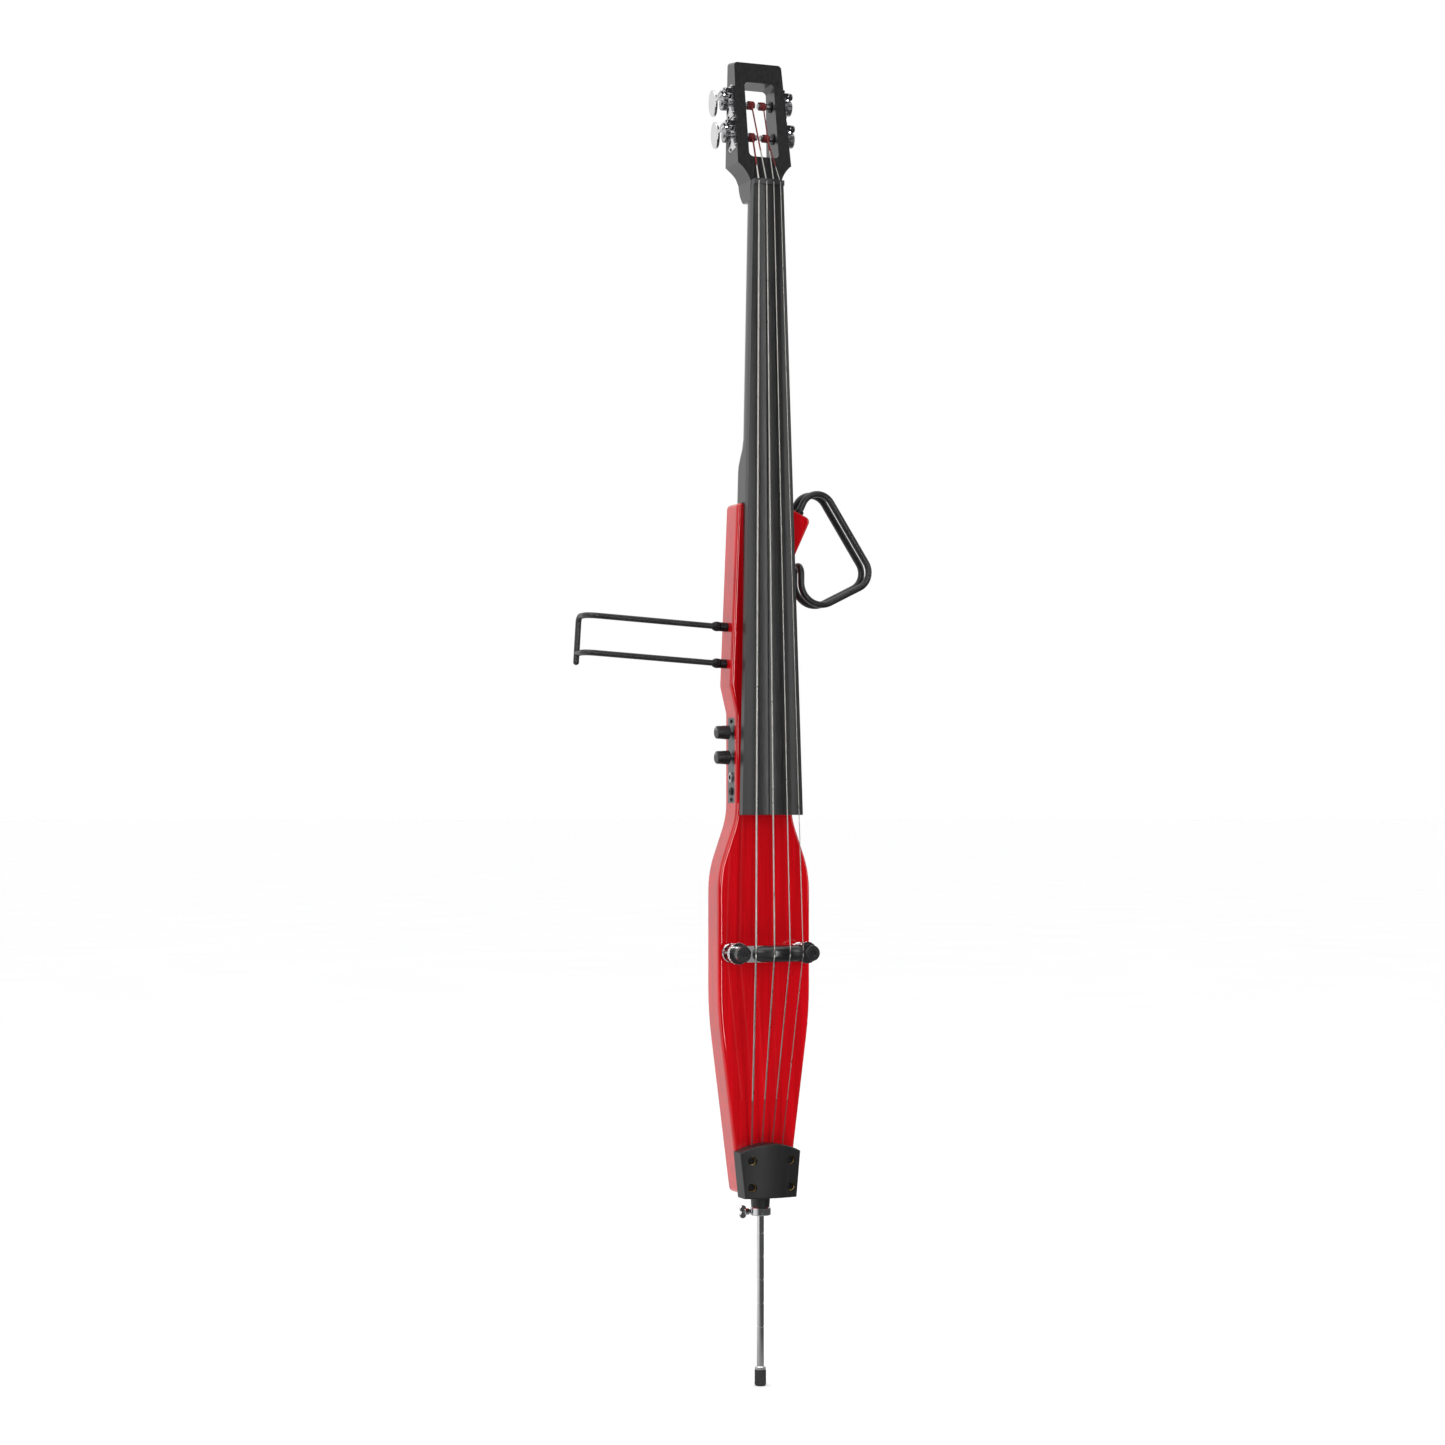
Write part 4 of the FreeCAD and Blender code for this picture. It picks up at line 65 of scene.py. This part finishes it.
BRIDGE_HEIGHT = 588
BRIDGE_SPACING = 22.8
CREST_FRONT = 78.1
CREST_RADIUS = 61
NUT_LINE = 1628
NUT_SPACING = 10.4
NUT_WIDTH = 7
NUT_RISE = 3
BOARD_RADIUS = 70
BOARD_HALF = 22
BOARD_FRONT = 30
TAIL_SPACING = 15
TAIL_FRONT = 24
TAIL_SIDES_TOP = 320
TAIL_ARCH = 11
TAIL_HALF = 44
HEAD_LEAN = math.radians(10)
HEAD_FRONT = 21.6
POST_LOW = 75
POST_SPACING = 46.4
POST_INSET = 16
POST_RADIUS = 4
COIL_WIDTH = 11
COIL_INNER_END = {"e": 5.0, "a": 3.2, "d": 3.2, "g": 5.0}
SILK_SHARE = 0.55
SILK_EXTRA = 0.95
SILK_TAIL = 62
TAIL_SCREW_X = 28
TAIL_SCREW_LOW = 15
TAIL_SCREW_HIGH = 51
TAIL_BOTTOM = 258
TAIL_RECESS_FLOOR = 31.5


def mm(x, y, z):
    return Vector((x, y, z)) * MM


# ---------------------------------------------------------------- where the strings run

def arch_depth(radius, x):
    """How far an arch of a radius has dropped at a distance from its crown."""
    return radius - math.sqrt(radius * radius - x * x)


def head_point(x, depth, along):
    y = -HEAD_FRONT + along * math.sin(HEAD_LEAN) + depth * math.cos(HEAD_LEAN)
    z = NUT_LINE + along * math.cos(HEAD_LEAN) - depth * math.sin(HEAD_LEAN)
    return mm(x, y, z)


def tail_point(note):
    x = STEP[note] * TAIL_SPACING
    radius = (TAIL_HALF ** 2 + TAIL_ARCH ** 2) / (2 * TAIL_ARCH)
    return mm(x, -TAIL_FRONT, TAIL_SIDES_TOP + TAIL_ARCH - arch_depth(radius, x))


def bridge_point(note):
    x = STEP[note] * BRIDGE_SPACING
    return mm(x, -CREST_FRONT + arch_depth(CREST_RADIUS, x), BRIDGE_HEIGHT)


def nut_point(note):
    x = STEP[note] * NUT_SPACING
    crown = -BOARD_FRONT - arch_depth(BOARD_RADIUS, BOARD_HALF)
    y = crown + arch_depth(BOARD_RADIUS, x) - NUT_RISE + STRING_WIDTH[note] / 2
    return mm(x, y, NUT_LINE + NUT_WIDTH / 2)


def post_centre(note):
    along = POST_LOW if note in "eg" else POST_LOW + POST_SPACING
    return head_point(0, POST_INSET, along)


def coil_middle(note):
    """X of the middle of a string's turns on its post."""
    return SIDE[note] * (COIL_INNER_END[note] + COIL_WIDTH / 2) * MM


def silk_width(note):
    """Width over the thread wrapped round a string's end."""
    return STRING_WIDTH[note] * SILK_SHARE + SILK_EXTRA


def coil_radius(note):
    """Post's axis to the centre line of the string's turns."""
    return (POST_RADIUS + silk_width(note) / 2) * MM


def post_point(note):
    """Where the string meets its turns, as a tangent of them."""
    nut = nut_point(note)
    centre = post_centre(note)
    reach = coil_radius(note)
    back = nut - centre
    distance = math.hypot(back.y, back.z)
    turn = math.acos(reach / distance)
    base = math.atan2(back.z, back.y)
    angle = min((base + turn, base - turn), key=math.cos)
    return Vector((coil_middle(note), centre.y + reach * math.cos(angle),
                   centre.z + reach * math.sin(angle)))


# ---------------------------------------------------------------- materials

class Graph:
    """A new node material, with short calls for the nodes used here."""

    def __init__(self, name):
        self.material = bpy.data.materials.new(name)
        self.material.use_nodes = True
        self.tree = self.material.node_tree
        self.shader = self.tree.nodes["Principled BSDF"]
        self.place = self.tree.nodes.new("ShaderNodeTexCoord").outputs["Object"]

    def link(self, output, target):
        self.tree.links.new(output, target)

    def scaled(self, scale):
        node = self.tree.nodes.new("ShaderNodeMapping")
        node.inputs["Scale"].default_value = scale
        self.link(self.place, node.inputs["Vector"])
        return node.outputs["Vector"]

    def noise(self, scale, detail=4.0, roughness=0.55, distortion=0.0):
        """Noise whose grains per metre are given for each axis."""
        node = self.tree.nodes.new("ShaderNodeTexNoise")
        node.inputs["Scale"].default_value = 1.0
        node.inputs["Detail"].default_value = detail
        node.inputs["Roughness"].default_value = roughness
        node.inputs["Distortion"].default_value = distortion
        self.link(self.scaled(scale), node.inputs["Vector"])
        return node.outputs["Fac"]

    def bands(self, scale, distortion=0.0):
        """Waves along Z, scale of them per metre."""
        node = self.tree.nodes.new("ShaderNodeTexWave")
        node.bands_direction = "Z"
        node.inputs["Scale"].default_value = 1.0
        node.inputs["Distortion"].default_value = distortion
        self.link(self.scaled((scale * 0.05, scale * 0.05, scale / math.pi * 0.5)),
                  node.inputs["Vector"])
        return node.outputs["Fac"]

    def ramp(self, value, stops):
        """A colour ramp through (position, colour) stops."""
        node = self.tree.nodes.new("ShaderNodeValToRGB")
        ramp = node.color_ramp
        while len(ramp.elements) < len(stops):
            ramp.elements.new(0.5)
        for element, (position, color) in zip(ramp.elements, stops):
            element.position = position
            element.color = (*color, 1)
        self.link(value, node.inputs["Fac"])
        return node.outputs["Color"]

    def spread(self, value, low, high):
        """Map noise from its usual span to low..high."""
        node = self.tree.nodes.new("ShaderNodeMapRange")
        node.inputs["From Min"].default_value = 0.3
        node.inputs["From Max"].default_value = 0.7
        node.inputs["To Min"].default_value = low
        node.inputs["To Max"].default_value = high
        self.link(value, node.inputs["Value"])
        return node.outputs["Result"]

    def mixed(self, factor, first, second, kind="MIX"):
        node = self.tree.nodes.new("ShaderNodeMix")
        node.data_type = "RGBA"
        node.blend_type = kind
        self.link(factor, node.inputs["Factor"])
        self.link(first, node.inputs["A"])
        self.link(second, node.inputs["B"])
        return node.outputs["Result"]

    def bump(self, value, depth):
        """Relief of a depth in metres."""
        node = self.tree.nodes.new("ShaderNodeBump")
        node.inputs["Distance"].default_value = depth
        self.link(value, node.inputs["Height"])
        return node.outputs["Normal"]

    def set(self, **values):
        for name, value in values.items():
            self.shader.inputs[name.replace("_", " ")].default_value = value

    def feed(self, **outputs):
        for name, output in outputs.items():
            self.link(output, self.shader.inputs[name.replace("_", " ")])


def red_lacquer():
    """Transparent red lacquer over maple, whose grain runs up the body."""
    graph = Graph("red_lacquer")
    fibres = graph.noise((420, 90, 9), detail=6, roughness=0.6)
    figure = graph.noise((26, 10, 3.2), detail=3, distortion=0.6)
    light = graph.ramp(fibres, [(0.30, (0.50, 0.0, 0.003)), (0.62, (0.66, 0.0, 0.006))])
    dark = graph.ramp(fibres, [(0.30, (0.36, 0.0, 0.002)), (0.62, (0.52, 0.0, 0.004))])
    graph.feed(Base_Color=graph.mixed(graph.spread(figure, 0, 1), light, dark),
               Roughness=graph.spread(fibres, 0.30, 0.42),
               Normal=graph.bump(fibres, 0.00002))
    graph.set(Specular_IOR_Level=0.04, Coat_Weight=1.0, Coat_Roughness=0.035, Coat_IOR=1.6)
    return graph.material


def black_wood(name, tone, rough, coat):
    """Black-stained wood with fine grain along Z."""
    graph = Graph(name)
    fibres = graph.noise((700, 700, 16), detail=5, roughness=0.65)
    cloud = graph.noise((22, 22, 5), detail=2)
    low = tuple(c * 0.7 for c in tone)
    high = tuple(c * 1.5 for c in tone)
    color = graph.ramp(fibres, [(0.35, low), (0.65, high)])
    shade = graph.ramp(cloud, [(0.3, (0.8, 0.8, 0.8)), (0.7, (1, 1, 1))])
    node = graph.mixed(graph.spread(cloud, 0.6, 1.0), color, shade, "MULTIPLY")
    graph.feed(Base_Color=node,
               Roughness=graph.spread(fibres, rough[0], rough[1]),
               Normal=graph.bump(fibres, 0.00004))
    graph.set(Coat_Weight=coat, Coat_Roughness=0.12)
    return graph.material


def metal(name, tone, rough, marks=(300, 300, 300), depth=0.00001):
    """Polished or ground metal, with faint uneven polish."""
    graph = Graph(name)
    cloud = graph.noise(tuple(m * 0.2 for m in marks), detail=3)
    fine = graph.noise(tuple(m * 8 for m in marks), detail=4, roughness=0.7)
    low = tuple(c * 0.9 for c in tone)
    graph.feed(Base_Color=graph.ramp(cloud, [(0.3, low), (0.7, tone)]),
               Roughness=graph.spread(cloud, rough[0], rough[1]),
               Normal=graph.bump(fine, depth))
    graph.set(Metallic=1.0)
    return graph.material


def moulded(name, tone, rough, grain=1800, depth=0.00005, coat=0.0):
    """Painted or moulded surface with a fine even texture."""
    graph = Graph(name)
    fine = graph.noise((grain, grain, grain), detail=2)
    cloud = graph.noise((45, 45, 45), detail=3)
    low = tuple(c * 0.75 for c in tone)
    high = tuple(c * 1.3 for c in tone)
    graph.feed(Base_Color=graph.ramp(cloud, [(0.3, low), (0.7, high)]),
               Roughness=graph.spread(cloud, rough[0], rough[1]),
               Normal=graph.bump(fine, depth))
    graph.set(Coat_Weight=coat, Coat_Roughness=0.05)
    return graph.material


def wound(name, tone, per_metre, rough, metallic, depth):
    """Thread or flat wire wound round a core, in turns along Z; the grooves between the turns get
    painted shade.
    """
    graph = Graph(name)
    turns = graph.bands(per_metre, distortion=0.3)
    cloud = graph.noise((300, 300, 60), detail=3)
    low = tuple(c * 0.55 for c in tone)
    # painted shade: the colour falls to 0.55 of the tone in the grooves between the turns
    color = graph.ramp(turns, [(0.05, low), (0.5, tone)])
    tint = graph.ramp(cloud, [(0.3, low), (0.7, tone)])
    graph.feed(Base_Color=graph.mixed(graph.spread(cloud, 0.1, 0.5), color, tint),
               Roughness=graph.spread(cloud, rough[0], rough[1]),
               Normal=graph.bump(turns, depth))
    graph.set(Metallic=metallic)
    return graph.material


MATERIALS = {
    "red_lacquer": red_lacquer(),
    "black_lacquer": black_wood("black_lacquer", (0.016, 0.016, 0.017), (0.30, 0.42), 0.35),
    "fingerboard": black_wood("fingerboard", (0.013, 0.013, 0.013), (0.30, 0.42), 0.0),
    "satin_black": black_wood("satin_black", (0.006, 0.006, 0.006), (0.40, 0.52), 0.0),
    "nut": moulded("nut", (0.03, 0.03, 0.032), (0.35, 0.5)),
    "string": wound("string", (0.62, 0.60, 0.57), 1400, (0.25, 0.4), 1.0, 0.00008),
    "silk": wound("silk", (0.24, 0.020, 0.022), 1700, (0.55, 0.75), 0.0, 0.00015),
    "brass": metal("brass", (0.66, 0.46, 0.20), (0.22, 0.35)),
    "chrome": metal("chrome", (0.70, 0.70, 0.71), (0.05, 0.12)),
    "black_steel": metal("black_steel", (0.035, 0.035, 0.038), (0.42, 0.55)),
    "bare_steel": metal("bare_steel", (0.42, 0.42, 0.43), (0.22, 0.36)),
    "bridge_black": moulded("bridge_black", (0.011, 0.011, 0.012), (0.24, 0.34), 900, 0.00002, 0.25),
    "pickup": metal("pickup", (0.60, 0.44, 0.20), (0.3, 0.45)),
    "socket_black": moulded("socket_black", (0.014, 0.014, 0.014), (0.3, 0.45)),
    "rubber": moulded("rubber", (0.020, 0.020, 0.020), (0.6, 0.8), 1200, 0.0001),
    "rod_black": moulded("rod_black", (0.016, 0.016, 0.017), (0.30, 0.42), 2200, 0.00003),
    "panel": metal("panel", (0.16, 0.16, 0.165), (0.32, 0.5), (900, 900, 40), 0.00003),
    "knob": moulded("knob", (0.012, 0.012, 0.013), (0.35, 0.5)),
    "board": moulded("board", (0.008, 0.06, 0.028), (0.3, 0.45)),
    "black_plastic": moulded("black_plastic", (0.014, 0.014, 0.014), (0.4, 0.55)),
    "battery": moulded("battery", (0.05, 0.05, 0.056), (0.25, 0.35)),
    "marker": moulded("marker", (0.70, 0.70, 0.68), (0.4, 0.5)),
}


def dress_nodes():
    """Give every CAD node the full material of its slot."""
    for part in frame["record"]["subparts"]:
        node = frame["nodes"][part["node"]]
        material = MATERIALS[part["material_slot"]]
        if not node.material_slots:
            node.data.materials.append(material)
        for slot in node.material_slots:
            slot.material = material


# ---------------------------------------------------------------- mesh pieces

def finish_piece(name, mesh_maker, slot, body=None):
    """Make an object of a bmesh, with its slot's material, riding on a body."""
    mesh = bpy.data.meshes.new(name)
    work = bmesh.new()
    mesh_maker(work)
    bmesh.ops.recalc_face_normals(work, faces=work.faces)
    work.to_mesh(mesh)
    work.free()
    for polygon in mesh.polygons:
        polygon.use_smooth = True
    piece = bpy.data.objects.new(name, mesh)
    bpy.context.scene.collection.objects.link(piece)
    mesh.materials.append(MATERIALS[slot])
    if body:
        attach(piece, body)
    return piece


def sweep(points, radii, sides):
    """A function that fills a bmesh with a capped tube through points."""
    def fill(work):
        rings = []
        across = None
        for index, point in enumerate(points):
            ahead = points[min(index + 1, len(points) - 1)] - points[max(index - 1, 0)]
            ahead.normalize()
            if across is None:
                across = ahead.orthogonal().normalized()
            across = (across - ahead * across.dot(ahead)).normalized()
            up = ahead.cross(across)
            ring = []
            for side in range(sides):
                angle = 2 * math.pi * side / sides
                offset = across * math.cos(angle) + up * math.sin(angle)
                ring.append(work.verts.new(point + offset * radii[index]))
            rings.append(ring)
        for ring, after in zip(rings, rings[1:]):
            for side in range(sides):
                other = (side + 1) % sides
                work.faces.new((ring[side], ring[other], after[other], after[side]))
        work.faces.new(rings[0])
        work.faces.new(list(reversed(rings[-1])))
    return fill


def along_line(points, spacing):
    """Points on straight runs through points, no further apart than spacing."""
    line = [points[0].copy()]
    for start, end in zip(points, points[1:]):
        count = max(1, math.ceil((end - start).length / spacing))
        line += [start.lerp(end, step / count) for step in range(1, count + 1)]
    return line


def turned(profile, origin, axis, sides=40):
    """A function that fills a bmesh with a closed profile turned about an axis.

    The profile's points are (radius, height along the axis) in millimetres.
    """
    across = axis.orthogonal().normalized()
    up = axis.cross(across)

    def fill(work):
        rings = []
        for side in range(sides):
            angle = 2 * math.pi * side / sides
            out = across * math.cos(angle) + up * math.sin(angle)
            rings.append([work.verts.new(origin + (out * radius + axis * height) * MM)
                          for radius, height in profile])
        count = len(profile)
        for side in range(sides):
            ring, after = rings[side], rings[(side + 1) % sides]
            for index in range(count):
                other = (index + 1) % count
                work.faces.new((ring[index], ring[other], after[other], after[index]))
    return fill


# ---------------------------------------------------------------- strings

def make_strings():
    for note in NOTES:
        radius = STRING_WIDTH[note] / 2 * MM
        silk = silk_width(note) / 2 * MM
        tail, bridge, nut, post = (tail_point(note), bridge_point(note), nut_point(note),
                                   post_point(note))
        below = tail + (tail - bridge).normalized() * 6 * MM
        lower = along_line([below, bridge], 6 * MM)
        upper = along_line([bridge, nut], 6 * MM)
        piece = finish_piece(f"string_{note}_below_bridge", sweep(lower, [radius] * len(lower), 12),
                             "string")
        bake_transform(piece)
        piece = finish_piece(f"string_{note}_above_bridge", sweep(upper, [radius] * len(upper), 12),
                             "string")
        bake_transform(piece)
        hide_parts(f"string_{note}")
        wrap = along_line([below, tail.lerp(bridge, SILK_TAIL * MM / (bridge - tail).length)], 3 * MM)
        wrapped = [silk + radius * 0.12] * len(wrap)
        wrapped[-1] = radius * 1.02
        piece = finish_piece(f"silk_{note}_tail", sweep(wrap, wrapped, 14), "silk")
        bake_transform(piece)
        make_string_end(note, nut, post, radius, silk)


def make_string_end(note, nut, post, radius, silk):
    """The bare string over the nut, then its silk-wrapped end up to the post."""
    start = 0.36 if note in "eg" else 0.40
    meet = nut.lerp(post, start)
    bare = along_line([nut, meet], 6 * MM)
    finish_piece(f"string_{note}_head", sweep(bare, [radius] * len(bare), 12), "string", "instrument")
    wrap = along_line([meet, post], 3 * MM)
    wrapped = [silk] * len(wrap)
    wrapped[0] = radius * 1.02
    finish_piece(f"silk_{note}_head", sweep(wrap, wrapped, 14), "silk", "instrument")


def make_coil(note):
    """The turns on a post: a helix from the string's tangent point to the post's hole."""
    silk = silk_width(note) / 2 * MM
    centre = post_centre(note)
    post = post_point(note)
    reach = coil_radius(note)
    first = math.atan2(post.z - centre.z, post.y - centre.y)
    pitch = silk * 2.04
    half = COIL_WIDTH * MM / 2 - silk
    turns = (2 * half) / pitch
    steps = int(turns * 40)
    points = []
    for step in range(steps + 1):
        share = step / steps
        angle = first + 2 * math.pi * turns * share
        x = coil_middle(note) + SIDE[note] * half * (1 - 2 * share)
        points.append(Vector((x, centre.y + reach * math.cos(angle),
                              centre.z + reach * math.sin(angle))))
    radii = [silk] * len(points)
    for index in range(6):
        radii[index] = silk * (0.55 + 0.075 * index)
        radii[-1 - index] = radii[index]
    piece = finish_piece(f"coil_{note}", sweep(points, radii, 12), "silk", f"post_{note}")
    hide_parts(f"winding_{note}")


# ---------------------------------------------------------------- small trim

def make_tail_liners():
    """Brass eyelets in the four screw recesses of the tail block."""
    for x in (-TAIL_SCREW_X, TAIL_SCREW_X):
        for rise in (TAIL_SCREW_LOW, TAIL_SCREW_HIGH):
            name = f"liner_{'l' if x < 0 else 'r'}{rise}"
            lip = 5.6 if rise == TAIL_SCREW_LOW else 5.2
            profile = [(5.95, 0.05), (5.95, lip), (5.75, lip + 0.3), (5.35, lip + 0.1), (5.2, 0.05)]
            origin = mm(x, -TAIL_RECESS_FLOOR, TAIL_BOTTOM + rise)
            finish_piece(name, turned(profile, origin, -Y_AXIS), "brass", "instrument")


def make_knob_pointers():
    """A white line on the end of each knob, from near its middle to its rim."""
    for name in ("volume", "tone"):
        low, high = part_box(f"knob_{name}")
        middle = (low + high) / 2
        face = low.x

        def fill(work, middle=middle, face=face):
            half = 0.6 * MM
            outline = []
            for centre_z, start in ((3.2 * MM, math.pi), (7.0 * MM, 0)):
                for step in range(9):
                    angle = start + math.pi * step / 8
                    outline.append((half * math.cos(angle), centre_z + half * math.sin(angle)))
            rings = []
            for depth, shrink in ((0.15, 1.0), (-0.12, 1.0), (-0.22, 0.8)):
                rings.append([work.verts.new((face + depth * MM, middle.y + y * shrink, middle.z + z))
                              for y, z in outline])
            count = len(outline)
            for ring, after in zip(rings, rings[1:]):
                for index in range(count):
                    other = (index + 1) % count
                    work.faces.new((ring[index], ring[other], after[other], after[index]))
            work.faces.new(rings[0])
            work.faces.new(rings[-1])
        finish_piece(f"pointer_{name}", fill, "marker", f"knob_{name}")


# ---------------------------------------------------------------- stage, light, camera

def painted_floor_reflection(graph):
    """Painted reflection: glossy rays see the floor as a glowing gradient, dim in front of the
    instrument, bright behind and left.
    """
    across = graph.tree.nodes.new("ShaderNodeVectorMath")
    across.operation = "DOT_PRODUCT"
    across.inputs[1].default_value = (-0.8, 1, 0)
    graph.link(graph.place, across.inputs[0])
    span = graph.tree.nodes.new("ShaderNodeMapRange")
    span.inputs["From Min"].default_value = -0.5
    span.inputs["From Max"].default_value = 1.5
    graph.link(across.outputs["Value"], span.inputs["Value"])
    glow = graph.tree.nodes.new("ShaderNodeEmission")
    graph.link(graph.ramp(span.outputs["Result"], [(0, (0.09, 0.09, 0.09)), (0.7, (1, 1, 1))]),
               glow.inputs["Color"])
    mix = graph.tree.nodes.new("ShaderNodeMixShader")
    path = graph.tree.nodes.new("ShaderNodeLightPath")
    # glossy rays get the glowing painted reflection, other rays the floor's own shader
    graph.link(path.outputs["Is Glossy Ray"], mix.inputs["Fac"])
    graph.link(graph.shader.outputs["BSDF"], mix.inputs[1])
    graph.link(glow.outputs["Emission"], mix.inputs[2])
    graph.link(mix.outputs["Shader"], graph.tree.nodes["Material Output"].inputs["Surface"])


def pale_floor():
    """A white floor that ends a little in front of the instrument."""
    graph = Graph("pale_floor")
    cloud = graph.noise((1.5, 1.5, 1.5), detail=2)
    graph.feed(Base_Color=graph.ramp(cloud, [(0.3, (0.94, 0.94, 0.94)), (0.7, (0.96, 0.96, 0.96))]))
    graph.set(Roughness=0.9, Specular_IOR_Level=0.1)
    # the floor's painted reflection: a glowing gradient seen only in gloss
    painted_floor_reflection(graph)
    mesh = bpy.data.meshes.new("floor")
    reach = 400
    front = -2.2
    mesh.from_pydata([(-reach, front, 0), (reach, front, 0), (reach, reach, 0), (-reach, reach, 0)],
                     [], [(0, 1, 2, 3)])
    mesh.materials.append(graph.material)
    floor = bpy.data.objects.new("floor", mesh)
    bpy.context.scene.collection.objects.link(floor)


def area_light(name, position, target, size, power):
    data = bpy.data.lights.new(name, "AREA")
    data.shape = "RECTANGLE"
    data.size, data.size_y = size
    data.energy = power
    light = bpy.data.objects.new(name, data)
    bpy.context.scene.collection.objects.link(light)
    light.location = position
    light.rotation_euler = (Vector(target) - Vector(position)).to_track_quat("-Z", "Y").to_euler()


def soft_sun(strength):
    """Even light from overhead, so wide that its shadow has no edge."""
    data = bpy.data.lights.new("overhead", "SUN")
    data.energy = strength
    data.angle = math.radians(70)
    light = bpy.data.objects.new("overhead", data)
    bpy.context.scene.collection.objects.link(light)
    light.rotation_euler = (math.radians(12), math.radians(-8), 0)


def set_world():
    """A white studio: bright behind the instrument and above it, dim in front of it."""
    world = bpy.data.worlds.new("studio")
    bpy.context.scene.world = world
    world.use_nodes = True
    nodes = world.node_tree.nodes
    links = world.node_tree.links
    background = nodes["Background"]
    direction = nodes.new("ShaderNodeTexCoord").outputs["Generated"]
    turn = nodes.new("ShaderNodeVectorMath")
    turn.operation = "DOT_PRODUCT"
    turn.inputs[1].default_value = (-0.25, 0.88, 0.40)
    ramp = nodes.new("ShaderNodeValToRGB")
    stops = ramp.color_ramp.elements
    stops[0].position = 0.38
    stops[0].color = (0.03, 0.03, 0.032, 1)
    stops[1].position = 0.72
    stops[1].color = (1, 1, 1, 1)
    reach = nodes.new("ShaderNodeMapRange")
    reach.inputs["From Min"].default_value = -1
    links.new(direction, turn.inputs[0])
    links.new(turn.outputs["Value"], reach.inputs["Value"])
    links.new(reach.outputs["Result"], ramp.inputs["Fac"])
    links.new(ramp.outputs["Color"], background.inputs["Color"])
    background.inputs["Strength"].default_value = 1.0
    seen = nodes.new("ShaderNodeBackground")
    seen.inputs["Color"].default_value = (1, 1, 1, 1)
    seen.inputs["Strength"].default_value = 1.0
    mix = nodes.new("ShaderNodeMixShader")
    links.new(nodes.new("ShaderNodeLightPath").outputs["Is Camera Ray"], mix.inputs["Fac"])
    links.new(background.outputs["Background"], mix.inputs[1])
    links.new(seen.outputs["Background"], mix.inputs[2])
    links.new(mix.outputs["Shader"], nodes["World Output"].inputs["Surface"])


def set_camera():
    """The view from the left and low, with the lens of a long product shot."""
    data = bpy.data.cameras.new("camera")
    data.lens = 76.9
    data.sensor_width = 36
    data.shift_y = 0.0342
    camera = bpy.data.objects.new("camera", data)
    bpy.context.scene.collection.objects.link(camera)
    camera.location = (-1.621, -3.875, 0.774)
    camera.rotation_euler = (math.radians(90.8), 0, math.radians(-22.0))
    bpy.context.scene.camera = camera


dress_nodes()
make_strings()
for string_name in NOTES:
    make_coil(string_name)
make_tail_liners()
make_knob_pointers()
pale_floor()
set_world()
area_light("key", (-3.4, -3.8, 2.4), (0, 0, 0.9), (2.2, 3.0), 70)
area_light("strip", (0.45, -5.0, 1.5), (0, 0, 0.95), (0.7, 3.2), 75)
area_light("fill", (4.2, -1.8, 1.8), (0, 0, 0.9), (1.6, 2.6), 30)
soft_sun(1.3)
set_camera()
bpy.context.scene.view_settings.view_transform = "Standard"
